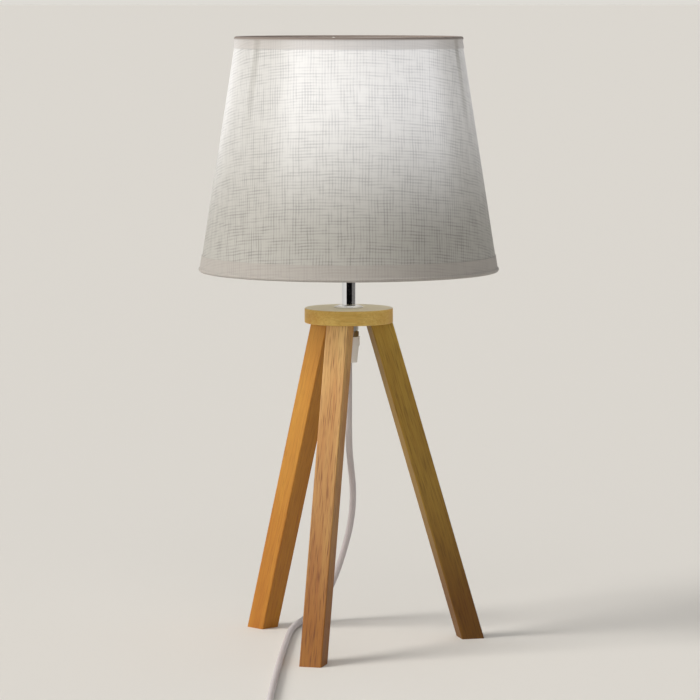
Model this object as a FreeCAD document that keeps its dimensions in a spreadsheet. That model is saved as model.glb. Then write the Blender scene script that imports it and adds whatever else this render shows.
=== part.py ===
import FreeCAD, Part
import math
import os
import Sketcher
from FreeCAD import Placement, Rotation, Vector

# A tripod table lamp: a tapered linen shade on a chrome stem, a round wooden plate and
# three splayed wooden legs, with its mains lead, in-line switch and plug.
# Millimetres, +Z up. The origin is on the floor, on the axis of the stem.
# The front leg stands towards -Y.

os.makedirs("parts", exist_ok=True)
doc = FreeCAD.newDocument("tripod_table_lamp")

# ---------------------------------------------------------------------------
# Driving dimensions: one cell each, in millimetres or degrees
# ---------------------------------------------------------------------------
SIZES = [
    ("spider_drop", 160.4, "top edge of the shade down to the fitter ring"),
    ("shade_height", 187.5, "height of the shade, edge to edge"),
    ("shade_top_radius", 90.0, "outside of the linen at the top edge"),
    ("shade_bottom_radius", 119.4, "outside of the linen at the bottom edge"),
    ("linen_thickness", 0.7, "woven outer skin"),
    ("liner_thickness", 0.5, "translucent inner skin"),
    ("skin_gap", 0.05, "glue line between two skins"),
    ("ring_wire", 1.4, "radius of the wire in the top and bottom rings"),
    ("hem_thickness", 0.45, "linen tape wrapped round each ring"),
    ("top_hem_depth", 9.4, "how far the top tape reaches down outside"),
    ("bottom_hem_depth", 13.0, "how far the bottom tape reaches up outside"),
    ("hem_inside_depth", 7.0, "how far both tapes reach inside"),
    ("arm_wire", 1.25, "radius of a spider arm"),
    ("arm_azimuth", -51.8, "first arm, measured from the front towards +X"),
    ("fitter_bore", 20.9, "radius of the hole in the fitter ring"),
    ("fitter_radius", 31.0, "outside of the fitter ring"),
    ("fitter_thickness", 1.5, "sheet of the fitter ring"),
    ("plate_top_height", 272.5, "floor to the top of the round plate"),
    ("plate_thickness", 12.0, "round plate"),
    ("plate_radius", 35.5, "round plate"),
    ("plate_edge", 1.0, "rounding of the plate's edges"),
    ("leg_width", 18.0, "side of a leg's square section"),
    ("leg_edge", 1.0, "rounding of a leg's long edges"),
    ("leg_top_circle", 25.0, "axis to the middle of a leg's top"),
    ("leg_foot_circle", 102.5, "axis to the middle of a foot"),
    ("front_leg_azimuth", -15.7, "front leg, measured from the front towards +X"),
    ("bolt_radius", 2.9, "dowel screw between plate and leg"),
    ("bolt_in_leg", 14.0, "depth of the dowel screw in the leg"),
    ("bolt_in_plate", 9.0, "depth of the dowel screw in the plate"),
    ("insert_wall", 1.6, "wall of the threaded insert in the plate"),
    ("fit_gap", 0.05, "clearance of pieces that stay together"),
    ("run_gap", 0.3, "clearance of pieces that move past each other"),
    ("stem_radius", 5.5, "chrome tube"),
    ("stem_bore", 3.6, "bore of the chrome tube"),
    ("stem_thread", 4.95, "threaded ends of the chrome tube"),
    ("stem_length", 27.5, "plate to the shoulder under the lampholder"),
    ("stem_in_holder", 10.0, "threaded end inside the lampholder"),
    ("stem_in_grip", 6.0, "threaded end inside the cord grip"),
    ("rosette_radius", 11.7, "chrome rosette on the plate"),
    ("rosette_rim", 0.8, "height of the rosette's rim"),
    ("rosette_height", 2.2, "height of the rosette at the stem"),
    ("washer_radius", 9.0, "washer under the plate"),
    ("washer_thickness", 2.0, "washer under the plate"),
    ("nut_corner_radius", 8.1, "hexagon nut under the plate"),
    ("nut_thickness", 4.6, "hexagon nut under the plate"),
    ("nut_turn", 17.0, "how the lower nut is turned against the upper one, in degrees"),
    ("grip_radius", 8.8, "head of the cord grip"),
    ("grip_head", 7.4, "height of the cord grip's head"),
    ("grip_neck_radius", 8.2, "top of the cord grip's taper"),
    ("grip_mouth_radius", 6.7, "bottom of the cord grip's taper"),
    ("grip_taper", 13.4, "height of the cord grip's taper"),
    ("grip_screw", 1.5, "radius of the clamp screw"),
    ("grip_screw_length", 5.0, "clamp screw"),
    ("cord_radius", 2.7, "round two-core mains lead"),
    ("core_radius", 1.1, "one insulated core"),
    ("cap_height", 20.0, "lower half of the lampholder"),
    ("cap_hub_radius", 8.2, "threaded hub of the lampholder's cap"),
    ("holder_radius", 19.5, "outside of the lampholder"),
    ("holder_wall", 2.2, "wall of the lampholder"),
    ("sleeve_height", 38.0, "upper half of the lampholder"),
    ("collar_radius", 24.0, "collar that the shade rests on"),
    ("collar_low", 6.0, "bottom of the collar above the cap"),
    ("collar_thickness", 3.0, "collar that the shade rests on"),
    ("thread_pitch", 3.0, "outer thread of the lampholder"),
    ("thread_depth", 0.8, "outer thread of the lampholder"),
    ("shade_ring_radius", 26.5, "retaining ring"),
    ("shade_ring_height", 7.5, "retaining ring"),
    ("shade_ring_chamfer", 2.0, "retaining ring"),
    ("insert_low", 2.0, "underside of the ceramic core above the cap"),
    ("insert_thickness", 11.0, "ceramic core"),
    ("socket_bore", 13.65, "radius inside the brass screw shell"),
    ("socket_wall", 0.45, "sheet of the brass screw shell"),
    ("socket_depth", 22.0, "brass screw shell"),
    ("contact_height", 3.6, "centre contact above the ceramic core"),
    ("contact_radius", 4.0, "centre contact"),
    ("terminal_offset", 8.0, "axis to a terminal block"),
    ("terminal_side", 5.0, "side of a terminal block"),
    ("terminal_screw", 1.2, "radius of a terminal screw"),
    ("bulb_tip_radius", 4.4, "solder contact of the bulb"),
    ("bulb_tip_height", 1.5, "solder contact of the bulb"),
    ("bulb_glass_foot", 3.5, "insulator of the bulb's cap"),
    ("bulb_cap_radius", 13.2, "crest of the bulb's cap"),
    ("bulb_cap_wall", 0.4, "sheet of the bulb's cap"),
    ("bulb_cap_height", 19.5, "screw cap of the bulb"),
    ("bulb_pitch", 3.6, "pitch of the bulb's cap"),
    ("bulb_radius", 30.0, "globe"),
    ("bulb_wall", 1.0, "glass of the globe"),
    ("bulb_length", 108.0, "solder contact to the top of the globe"),
    ("neck_flare_radius", 16.0, "glass neck where the globe's cone starts"),
    ("neck_flare_height", 11.0, "neck flare above the cap"),
    ("filament_radius", 0.9, "lighting filament"),
    ("filament_length", 30.0, "lighting filament"),
    ("filament_circle", 6.0, "circle that the filaments stand on"),
    ("mount_radius", 4.0, "glass mount of the filaments"),
    ("switch_length", 52.0, "in-line switch"),
    ("switch_width", 23.0, "in-line switch"),
    ("switch_neck", 11.0, "end of the in-line switch"),
    ("switch_shoulder", 36.0, "full-width part of the in-line switch"),
    ("switch_height", 13.0, "in-line switch"),
    ("switch_edge", 1.2, "rounding of the switch's housing"),
    ("switch_wall", 1.6, "wall of the switch's housing"),
    ("switch_start_x", -4.0, "lamp end of the in-line switch"),
    ("switch_line_y", -330.0, "line of the in-line switch"),
    ("rocker_length", 14.6, "rocker"),
    ("rocker_width", 9.0, "rocker"),
    ("rocker_rise", 2.2, "tips of the rocker above the cover, when level"),
    ("rocker_dip", 0.9, "middle of the rocker above the cover"),
    ("rocker_pivot", 8.5, "floor to the rocker's axle"),
    ("rocker_axle", 1.2, "radius of the rocker's axle"),
    ("rocker_tilt", 8.0, "tilt of the rocker from level, in degrees"),
    ("rocker_end_gap", 1.3, "room at each end of the rocker"),
    ("switch_screw", 1.4, "radius of a housing screw"),
    ("switch_screw_x", 14.0, "middle of the switch to a housing screw"),
    ("switch_screw_y", 8.4, "middle of the switch to a housing screw"),
    ("lead_inside_switch", 7.0, "length of the lead inside each end"),
    ("coil_middle_x", 84.0, "start of the coil's first turn"),
    ("coil_outer_radius", 38.0, "outermost half turn, at the middle of the lead"),
    ("coil_step", 3.0, "what each half turn is smaller by"),
    ("coil_layer_step", 6.0, "height from the lower to the upper layer"),
    ("tie_thickness", 0.5, "tie round the coil"),
    ("tie_width", 4.0, "tie round the coil"),
    ("tie_gap", 0.15, "tie to the lead"),
    ("tail_length", 29.6, "lead between the coil and the plug"),
    ("plug_width", 35.3, "plug"),
    ("plug_thickness", 13.7, "plug"),
    ("plug_length", 36.0, "plug without its strain relief"),
    ("plug_square", 12.0, "full-width part of the plug"),
    ("plug_back_width", 14.0, "back of the plug"),
    ("plug_edge", 2.5, "rounding of the plug"),
    ("relief_length", 25.0, "strain relief of the plug"),
    ("relief_radius", 5.4, "strain relief at the plug"),
    ("relief_mouth", 3.7, "strain relief at the lead"),
    ("pin_radius", 2.0, "plug pin"),
    ("pin_length", 19.0, "plug pin outside the plug"),
    ("pin_bare", 9.0, "bare end of a plug pin"),
    ("pin_core", 1.5, "plug pin under its sleeve"),
    ("pin_spacing", 18.6, "between the plug pins"),
    ("pin_inside", 8.0, "plug pin inside the plug"),
    ("sleeve_radius", 1.8, "insulating sleeve on a plug pin"),
]

HALF_TURNS_IN = 5  # half turns that spiral in, and as many that spiral out again
LEG_COUNT = 3
NUT_COUNT = 2
ARM_COUNT = 3
FILAMENT_COUNT = 4

sheet = doc.addObject("Spreadsheet::Sheet", "Sizes")
for row, (alias, number, note) in enumerate(SIZES, start=1):
    sheet.set(f"A{row}", note)
    sheet.set(f"B{row}", str(number))
    sheet.setAlias(f"B{row}", alias)
doc.recompute()


class Size:
    """A length that knows both the cells that make it and its present value."""

    def __init__(self, cells, mm):
        self.cells = cells
        self.mm = mm

    def joined(self, sign, other, mm):
        return Size(f"({self.cells} {sign} {other.cells})", mm)

    def __add__(self, other):
        other = as_size(other)
        return self.joined("+", other, self.mm + other.mm)

    def __sub__(self, other):
        other = as_size(other)
        return self.joined("-", other, self.mm - other.mm)

    def __mul__(self, other):
        other = as_size(other)
        return self.joined("*", other, self.mm * other.mm)

    def __truediv__(self, other):
        other = as_size(other)
        return self.joined("/", other, self.mm / other.mm)

    def __neg__(self):
        return as_size(0) - self


def as_size(value):
    """The value itself if it is a Size, or a Size for a plain number."""
    if isinstance(value, Size):
        return value
    return Size(repr(float(value)), float(value))


def named(alias):
    """The size in one cell of the sheet."""
    return Size(f"Sizes.{alias}", float(sheet.get(alias)))


def square_root(value):
    return Size(f"sqrt({value.cells})", math.sqrt(value.mm))


def bind(thing, **sizes):
    """Ties properties of an object to sizes."""
    for name, value in sizes.items():
        thing.setExpression(name, as_size(value).cells)


def put(thing, x=0, y=0, z=0):
    """Ties an object's place to sizes."""
    for axis, value in (("x", x), ("y", y), ("z", z)):
        thing.setExpression(f"Placement.Base.{axis}", as_size(value).cells)


# ---------------------------------------------------------------------------
# Ways of making a piece
# ---------------------------------------------------------------------------
pieces = {}


def piece(name, thing):
    """Labels a finished sub-part and lists it for the export."""
    thing.Label = name
    pieces[name] = thing
    return thing


def cylinder(name, radius, height, x=0, y=0, z=0):
    thing = doc.addObject("Part::Cylinder", name)
    bind(thing, Radius=radius, Height=height)
    put(thing, x, y, z)
    return thing


def lying_cylinder(name, radius, height, x=0, y=0, z=0, along=Vector(1, 0, 0)):
    thing = cylinder(name, radius, height)
    thing.Placement = Placement(Vector(), Rotation(Vector(0, 0, 1), along))
    put(thing, x, y, z)
    return thing


def cone(name, low_radius, high_radius, low, high):
    thing = doc.addObject("Part::Cone", name)
    bind(thing, Radius1=low_radius, Radius2=high_radius, Height=high - low)
    put(thing, z=low)
    return thing


def block(name, length, width, height, x=0, y=0, z=0):
    """A box that is centred on x and y, and stands on z."""
    thing = doc.addObject("Part::Box", name)
    bind(thing, Length=length, Width=width, Height=height)
    put(thing, as_size(x) - length / 2, as_size(y) - width / 2, z)
    return thing


def cut(name, base, *tools):
    for number, tool in enumerate(tools):
        thing = doc.addObject("Part::Cut", f"{name}_cut_{number}")
        thing.Base = base
        thing.Tool = tool
        base = thing
    return base


def fuse(name, things):
    thing = doc.addObject("Part::MultiFuse", name)
    thing.Shapes = things
    return thing


def group(name, things):
    """Separate solids that share one node."""
    thing = doc.addObject("Part::Compound", name)
    thing.Links = things
    return thing


def ring_wire(name, radius, wire, height):
    thing = doc.addObject("Part::Torus", name)
    bind(thing, Radius1=radius, Radius2=wire)
    put(thing, z=height)
    return thing


def sketched_body(name, plane, corners):
    """A body with one closed sketch, whose corners are tied to pairs of sizes."""
    body = doc.addObject("PartDesign::Body", f"{name}_body")
    sketch = body.newObject("Sketcher::SketchObject", f"{name}_outline")
    face = [f for f in body.Origin.OriginFeatures if f.Role == plane][0]
    sketch.AttachmentSupport = [(face, "")]
    sketch.MapMode = "FlatFace"
    corners = [(as_size(u), as_size(v)) for u, v in corners]
    places = [Vector(u.mm, v.mm, 0) for u, v in corners]
    for start, end in zip(places, places[1:] + places[:1]):
        sketch.addGeometry(Part.LineSegment(start, end), False)
    for index in range(len(places)):
        following = (index + 1) % len(places)
        sketch.addConstraint(Sketcher.Constraint("Coincident", index, 2, following, 1))
    for index, corner in enumerate(corners):
        for kind, value in zip(("DistanceX", "DistanceY"), corner):
            rule = Sketcher.Constraint(kind, -1, 1, index, 1, value.mm)
            number = sketch.addConstraint(rule)
            sketch.setExpression(f"Constraints[{number}]", value.cells)
    return body, sketch


def turned(name, corners):
    """A body turned about the stem's axis, from (radius, height) corners."""
    body, sketch = sketched_body(name, "XZ_Plane", corners)
    turn = body.newObject("PartDesign::Revolution", f"{name}_turn")
    turn.Profile = sketch
    turn.ReferenceAxis = (sketch, ["V_Axis"])
    turn.Angle = 360
    return body


def padded(name, corners, height):
    """A body padded upwards from (x, y) corners."""
    body, sketch = sketched_body(name, "XY_Plane", corners)
    pad = body.newObject("PartDesign::Pad", f"{name}_pad")
    pad.Profile = sketch
    bind(pad, Length=height)
    return body, pad


def rounded(body, name, feature, radius, wanted):
    """Rounds the edges of a body's last feature that the wanted test picks."""
    doc.recompute()
    edges = [f"Edge{n}" for n, e in enumerate(feature.Shape.Edges, 1) if wanted(e)]
    fillet = body.newObject("PartDesign::Fillet", f"{name}_rounding")
    fillet.Base = (feature, edges)
    bind(fillet, Radius=radius)
    return fillet


def rods(name, radius, ends):
    """Straight round rods between pairs of points, grouped in one node."""
    made = []
    for number, (start, end) in enumerate(ends):
        rod = doc.addObject("Part::Cylinder", f"{name}_{number}")
        bind(rod, Radius=radius)
        rod.Height = (end - start).Length
        rod.Placement = Placement(start, Rotation(Vector(0, 0, 1), end - start))
        made.append(rod)
    return made[0] if len(made) == 1 else group(name, made)


def around(azimuth, radius, height=0.0):
    """The point at an azimuth, in degrees from the front (-Y) towards +X."""
    angle = math.radians(azimuth)
    return Vector(radius * math.sin(angle), -radius * math.cos(angle), height)


# ---------------------------------------------------------------------------
# Heights that several pieces share
# ---------------------------------------------------------------------------
gap = named("fit_gap")
run = named("run_gap")
plate_top = named("plate_top_height")
plate_under = plate_top - named("plate_thickness")
washer_under = plate_under - named("washer_thickness")
nut_under = washer_under - named("nut_thickness") * NUT_COUNT
grip_neck = nut_under - named("grip_head")
grip_mouth = grip_neck - named("grip_taper")
rosette_top = plate_top + named("rosette_height")
holder_base = plate_top + named("stem_length")
sleeve_base = holder_base + named("cap_height")
collar_top = sleeve_base + named("collar_low") + named("collar_thickness")
insert_base = sleeve_base + named("insert_low")
insert_top = insert_base + named("insert_thickness")
bulb_base = insert_top + named("contact_height") + run
fitter_low = collar_top + gap * 2
fitter_top = fitter_low + named("fitter_thickness")
shade_top = fitter_low + named("spider_drop")
shade_bottom = shade_top - named("shade_height")
shade_slope = (named("shade_bottom_radius") - named("shade_top_radius")) / named("shade_height")


# ---------------------------------------------------------------------------
# Shade: two skins, two wire rings in their hems, three arms and the fitter ring
# ---------------------------------------------------------------------------
def skin_radius(height):
    """Outside of the linen at a height."""
    return named("shade_top_radius") + (shade_top - height) * shade_slope


def skin(name, low, high, outside, thickness):
    """A tapered shell; outside is how far its face stands out from the linen's."""
    outer = cone(f"{name}_outer", skin_radius(low) + outside, skin_radius(high) + outside, low, high)
    inset = outside - thickness
    inner = cone(f"{name}_inner", skin_radius(low) + inset, skin_radius(high) + inset, low, high)
    return cut(name, outer, inner)


bead = named("ring_wire") + named("hem_thickness")
edge_gap = bead * 2 + named("skin_gap")
half_skin = (named("linen_thickness") + named("liner_thickness")) / 2
liner_inset = named("linen_thickness") + named("skin_gap")
skin_low = shade_bottom + edge_gap
skin_high = shade_top - edge_gap

piece("shade_cover", skin("shade_cover", skin_low, skin_high, as_size(0), named("linen_thickness")))
piece("shade_liner", skin("shade_liner", skin_low, skin_high, -liner_inset, named("liner_thickness")))


def hem(name, ring_height, low, high, inside_low, inside_high):
    """Linen tape round a wire ring, with a strip outside and one inside."""
    radius = skin_radius(ring_height) - half_skin
    wrap = ring_wire(f"{name}_bead", radius, bead, ring_height)
    room = ring_wire(f"{name}_room", radius, named("ring_wire") + named("skin_gap"), ring_height)
    tape = named("hem_thickness")
    face = named("skin_gap") + tape
    outside = skin(f"{name}_outside", low, high, face, tape)
    back = -(liner_inset + named("liner_thickness") + named("skin_gap"))
    inside = skin(f"{name}_inside", inside_low, inside_high, back, tape)
    return cut(name, fuse(f"{name}_tape", [wrap, outside, inside]), room)


top_ring_height = shade_top - bead
bottom_ring_height = shade_bottom + bead
top_ring_radius = skin_radius(top_ring_height) - half_skin
bottom_ring_radius = skin_radius(bottom_ring_height) - half_skin
top_ring = piece("top_ring", ring_wire("top_ring", top_ring_radius, named("ring_wire"), top_ring_height))
piece(
    "bottom_ring",
    ring_wire("bottom_ring", bottom_ring_radius, named("ring_wire"), bottom_ring_height),
)
piece(
    "top_hem",
    hem(
        "top_hem",
        top_ring_height,
        shade_top - named("top_hem_depth"),
        top_ring_height,
        shade_top - named("hem_inside_depth"),
        top_ring_height,
    ),
)
piece(
    "bottom_hem",
    hem(
        "bottom_hem",
        bottom_ring_height,
        bottom_ring_height,
        shade_bottom + named("bottom_hem_depth"),
        bottom_ring_height,
        shade_bottom + named("hem_inside_depth"),
    ),
)

fitter_ring = piece(
    "fitter_ring",
    turned(
        "fitter_ring",
        [
            (named("fitter_bore"), fitter_low),
            (named("fitter_radius"), fitter_low),
            (named("fitter_radius"), fitter_top),
            (named("fitter_bore"), fitter_top),
        ],
    ),
)

arm_foot_radius = named("fitter_radius") - named("arm_wire") - gap * 4
arm_foot_height = fitter_low + named("fitter_thickness") / 2
arm_rise = top_ring_height - arm_foot_height
arm_head_radius = (
    skin_radius(skin_high)
    - liner_inset
    - named("liner_thickness")
    - named("skin_gap")
    - named("hem_thickness")
    - named("arm_wire")
)
arm_reach = arm_head_radius - arm_foot_radius
arm_length = square_root(arm_rise * arm_rise + arm_reach * arm_reach)
arms = []
for number in range(ARM_COUNT):
    azimuth = named("arm_azimuth").mm + number * 360 / ARM_COUNT
    foot = around(azimuth, arm_foot_radius.mm, arm_foot_height.mm)
    head = around(azimuth, arm_head_radius.mm, top_ring_height.mm)
    arm = doc.addObject("Part::Cylinder", f"arm_{number}")
    bind(arm, Radius=named("arm_wire"), Height=arm_length)
    arm.Placement = Placement(foot, Rotation(Vector(0, 0, 1), head - foot))
    hem_room = ring_wire(f"arm_room_{number}", top_ring_radius, bead + gap, top_ring_height)
    arms.append(cut(f"arm_{number}", arm, hem_room, fitter_ring))
piece("spider_arms", group("spider_arms", arms))

# ---------------------------------------------------------------------------
# Stem, plate and what holds them
# ---------------------------------------------------------------------------
piece(
    "stem_tube",
    turned(
        "stem_tube",
        [
            (named("stem_bore"), nut_under - named("stem_in_grip")),
            (named("stem_thread"), nut_under - named("stem_in_grip")),
            (named("stem_thread"), rosette_top),
            (named("stem_radius"), rosette_top),
            (named("stem_radius"), holder_base),
            (named("stem_thread"), holder_base),
            (named("stem_thread"), holder_base + named("stem_in_holder")),
            (named("stem_bore"), holder_base + named("stem_in_holder")),
        ],
    ),
)
hole = named("stem_thread") + gap
dome_radius = (named("rosette_radius") + named("stem_radius")) / 2
piece(
    "stem_rosette",
    turned(
        "stem_rosette",
        [
            (hole, plate_top),
            (named("rosette_radius"), plate_top),
            (named("rosette_radius"), plate_top + named("rosette_rim")),
            (dome_radius, rosette_top - named("rosette_rim") / 4),
            (named("stem_radius"), rosette_top),
            (hole, rosette_top),
        ],
    ),
)

plate_body, plate_turn = sketched_body(
    "leg_plate",
    "XZ_Plane",
    [
        (hole, plate_under),
        (named("plate_radius"), plate_under),
        (named("plate_radius"), plate_top),
        (hole, plate_top),
    ],
)
turn = plate_body.newObject("PartDesign::Revolution", "leg_plate_turn")
turn.Profile = plate_turn
turn.ReferenceAxis = (plate_turn, ["V_Axis"])
turn.Angle = 360
rounded(
    plate_body,
    "leg_plate",
    turn,
    named("plate_edge"),
    lambda edge: edge.Length > math.pi * named("plate_radius").mm and len(edge.Vertexes) == 1,
)
insert_radius = named("bolt_radius") + named("insert_wall")
insert_rooms = []
leg_azimuths = [
    named("front_leg_azimuth").mm + number * 360 / LEG_COUNT for number in range(LEG_COUNT)
]
for number, azimuth in enumerate(leg_azimuths):
    place = around(azimuth, named("leg_top_circle").mm, plate_under.mm)
    room = doc.addObject("Part::Cylinder", f"insert_room_{number}")
    bind(room, Radius=insert_radius + gap, Height=named("bolt_in_plate") + gap)
    room.Placement.Base = place
    insert_rooms.append(room)
piece("leg_plate", cut("leg_plate", plate_body, *insert_rooms))

piece(
    "stem_washer",
    turned(
        "stem_washer",
        [
            (hole, washer_under),
            (named("washer_radius"), washer_under),
            (named("washer_radius"), plate_under),
            (hole, plate_under),
        ],
    ),
)
nut_bevel = named("nut_corner_radius") * 0.13
nuts = []
for number in range(NUT_COUNT):
    nut_low = nut_under + named("nut_thickness") * number
    nut_high = nut_low + named("nut_thickness")
    blank = doc.addObject("Part::Prism", f"nut_blank_{number}")
    blank.Polygon = 6
    bind(blank, Circumradius=named("nut_corner_radius"), Height=named("nut_thickness"))
    blank.Placement.Rotation = Rotation(Vector(0, 0, 1), named("nut_turn").mm * number)
    put(blank, z=nut_low)
    envelope = turned(
        f"nut_envelope_{number}",
        [
            (hole, nut_low),
            (named("nut_corner_radius") - nut_bevel, nut_low),
            (named("nut_corner_radius"), nut_low + nut_bevel * 0.6),
            (named("nut_corner_radius"), nut_high - nut_bevel * 0.6),
            (named("nut_corner_radius") - nut_bevel, nut_high),
            (hole, nut_high),
        ],
    )
    nut = doc.addObject("Part::Common", f"nut_{number}")
    nut.Base = blank
    nut.Tool = envelope
    nuts.append(nut)
piece("stem_nuts", group("stem_nuts", nuts))

cord_room = named("cord_radius") + gap
grip_blank = turned(
    "cord_grip",
    [
        (cord_room, grip_mouth),
        (named("grip_mouth_radius"), grip_mouth),
        (named("grip_neck_radius"), grip_neck),
        (named("grip_radius"), grip_neck),
        (named("grip_radius"), nut_under),
        (hole, nut_under),
        (hole, nut_under - named("stem_in_grip") - gap),
        (cord_room, nut_under - named("stem_in_grip") - gap),
    ],
)
screw_height = grip_neck - named("grip_screw") * 2
screw_start = cord_room + gap
screw_hole = lying_cylinder(
    "grip_screw_hole",
    named("grip_screw") + gap,
    named("grip_radius"),
    y=screw_start,
    z=screw_height,
    along=Vector(0, 1, 0),
)
piece("cord_grip", cut("cord_grip", grip_blank, screw_hole))
piece(
    "grip_screw",
    lying_cylinder(
        "grip_screw",
        named("grip_screw"),
        named("grip_screw_length"),
        y=screw_start,
        z=screw_height,
        along=Vector(0, 1, 0),
    ),
)

# ---------------------------------------------------------------------------
# Legs: square wooden bars, cut level at both ends, each on a dowel screw
# ---------------------------------------------------------------------------
leg_run = named("leg_foot_circle") - named("leg_top_circle")
leg_slant = square_root(leg_run * leg_run + plate_under * plate_under) / plate_under
leg_half_depth = named("leg_width") * leg_slant / 2
leg_half_width = named("leg_width") / 2


def leg(name, azimuth):
    """A leg whose foot stands at an azimuth from the front towards +X."""
    bar = doc.addObject("Part::Wedge", f"{name}_bar")
    bind(
        bar,
        Xmin=named("leg_foot_circle") - leg_half_depth,
        Xmax=named("leg_foot_circle") + leg_half_depth,
        Zmin=-leg_half_width,
        Zmax=leg_half_width,
        Ymin=0,
        Ymax=plate_under,
        X2min=named("leg_top_circle") - leg_half_depth,
        X2max=named("leg_top_circle") + leg_half_depth,
        Z2min=-leg_half_width,
        Z2max=leg_half_width,
    )
    doc.recompute()
    long_edges = [
        number
        for number, edge in enumerate(bar.Shape.Edges, 1)
        if edge.Length > plate_under.mm * 0.9
    ]
    round_bar = doc.addObject("Part::Fillet", f"{name}_round_bar")
    round_bar.Base = bar
    round_bar.Edges = [(n, named("leg_edge").mm, named("leg_edge").mm) for n in long_edges]
    # The bar is drawn lying down: its own Y runs up the lamp, and its X runs outwards.
    stood = Rotation(Vector(1, 0, 0), 90)
    outwards = Rotation(Vector(0, 0, 1), azimuth - 90)
    round_bar.Placement = Placement(Vector(), outwards.multiply(stood))
    bolt_hole = doc.addObject("Part::Cylinder", f"{name}_bolt_hole")
    depth = named("bolt_in_leg") + gap
    bind(bolt_hole, Radius=named("bolt_radius") + gap, Height=depth)
    bolt_hole.Placement.Base = around(
        azimuth, named("leg_top_circle").mm, plate_under.mm - depth.mm
    )
    return piece(name, cut(name, round_bar, bolt_hole))


for name, azimuth in zip(("leg_front", "leg_right", "leg_left"), leg_azimuths):
    leg(name, azimuth)

bolts = []
inserts = []
for number, azimuth in enumerate(leg_azimuths):
    place = around(azimuth, named("leg_top_circle").mm, plate_under.mm)
    bolt = doc.addObject("Part::Cylinder", f"bolt_{number}")
    bind(
        bolt,
        Radius=named("bolt_radius"),
        Height=named("bolt_in_leg") + named("bolt_in_plate"),
    )
    bolt.Placement.Base = place - Vector(0, 0, named("bolt_in_leg").mm)
    bolts.append(bolt)
    blank = doc.addObject("Part::Cylinder", f"insert_{number}")
    bind(blank, Radius=insert_radius, Height=named("bolt_in_plate"))
    blank.Placement.Base = place
    bore = doc.addObject("Part::Cylinder", f"insert_bore_{number}")
    bind(bore, Radius=named("bolt_radius") + gap, Height=named("bolt_in_plate"))
    bore.Placement.Base = place
    inserts.append(cut(f"insert_{number}", blank, bore))
piece("leg_bolts", group("leg_bolts", bolts))
piece("leg_inserts", group("leg_inserts", inserts))

# ---------------------------------------------------------------------------
# Lampholder: cap, threaded sleeve, ceramic core, contacts and the retaining ring
# ---------------------------------------------------------------------------
wall_in = named("holder_radius") - named("holder_wall")
shoulder = holder_base + named("cap_height") / 6
piece(
    "holder_cap",
    turned(
        "holder_cap",
        [
            (hole, holder_base),
            (named("cap_hub_radius"), holder_base),
            (named("cap_hub_radius"), shoulder),
            (named("holder_radius"), sleeve_base - named("collar_low")),
            (named("holder_radius"), sleeve_base),
            (wall_in, sleeve_base),
            (wall_in, sleeve_base - named("collar_low") + named("holder_wall") / 2),
            (named("cap_hub_radius"), shoulder + named("holder_wall") * 1.5),
            (named("cap_hub_radius"), holder_base + named("stem_in_holder") + gap),
            (hole, holder_base + named("stem_in_holder") + gap),
        ],
    ),
)

sleeve_top = sleeve_base + named("sleeve_height")
thread_corners = []
thread_count = int((sleeve_top.mm - collar_top.mm) / named("thread_pitch").mm) - 1
for number in range(thread_count):
    start = collar_top + named("thread_pitch") * (number + 1)
    thread_corners += [
        (named("holder_radius"), start),
        (named("holder_radius") + named("thread_depth"), start + named("thread_pitch") / 4),
        (named("holder_radius") + named("thread_depth"), start + named("thread_pitch") / 2),
        (named("holder_radius"), start + named("thread_pitch") * 0.75),
    ]
piece(
    "holder_sleeve",
    turned(
        "holder_sleeve",
        [
            (wall_in, sleeve_base + gap),
            (named("holder_radius"), sleeve_base + gap),
            (named("holder_radius"), sleeve_base + named("collar_low")),
            (named("collar_radius"), sleeve_base + named("collar_low")),
            (named("collar_radius"), collar_top),
            (named("holder_radius"), collar_top),
        ]
        + thread_corners
        + [
            (named("holder_radius"), sleeve_top),
            (wall_in, sleeve_top),
        ],
    ),
)
ring_low = fitter_top + gap * 2
ring_top = ring_low + named("shade_ring_height")
ring_bore = named("holder_radius") + named("thread_depth") + gap * 2
piece(
    "shade_ring",
    turned(
        "shade_ring",
        [
            (ring_bore, ring_low),
            (named("shade_ring_radius"), ring_low),
            (named("shade_ring_radius"), ring_top - named("shade_ring_chamfer")),
            (named("shade_ring_radius") - named("shade_ring_chamfer"), ring_top),
            (ring_bore, ring_top),
        ],
    ),
)
piece(
    "holder_core",
    turned(
        "holder_core",
        [
            (0, insert_base),
            (wall_in - gap, insert_base),
            (wall_in - gap, insert_top),
            (0, insert_top),
        ],
    ),
)
shell_out = named("socket_bore") + named("socket_wall")
shell_foot = named("contact_radius") + run * 5
piece(
    "socket_shell",
    turned(
        "socket_shell",
        [
            (shell_foot, insert_top),
            (shell_out, insert_top),
            (shell_out, insert_top + named("socket_depth")),
            (named("socket_bore"), insert_top + named("socket_depth")),
            (named("socket_bore"), insert_top + named("socket_wall")),
            (shell_foot, insert_top + named("socket_wall")),
        ],
    ),
)
piece(
    "centre_contact",
    turned(
        "centre_contact",
        [
            (0, insert_top),
            (named("contact_radius"), insert_top),
            (named("contact_radius"), insert_top + named("socket_wall") * 2),
            (named("contact_radius") * 0.6, insert_top + named("contact_height")),
            (0, insert_top + named("contact_height")),
        ],
    ),
)
terminals = []
terminal_screws = []
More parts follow.
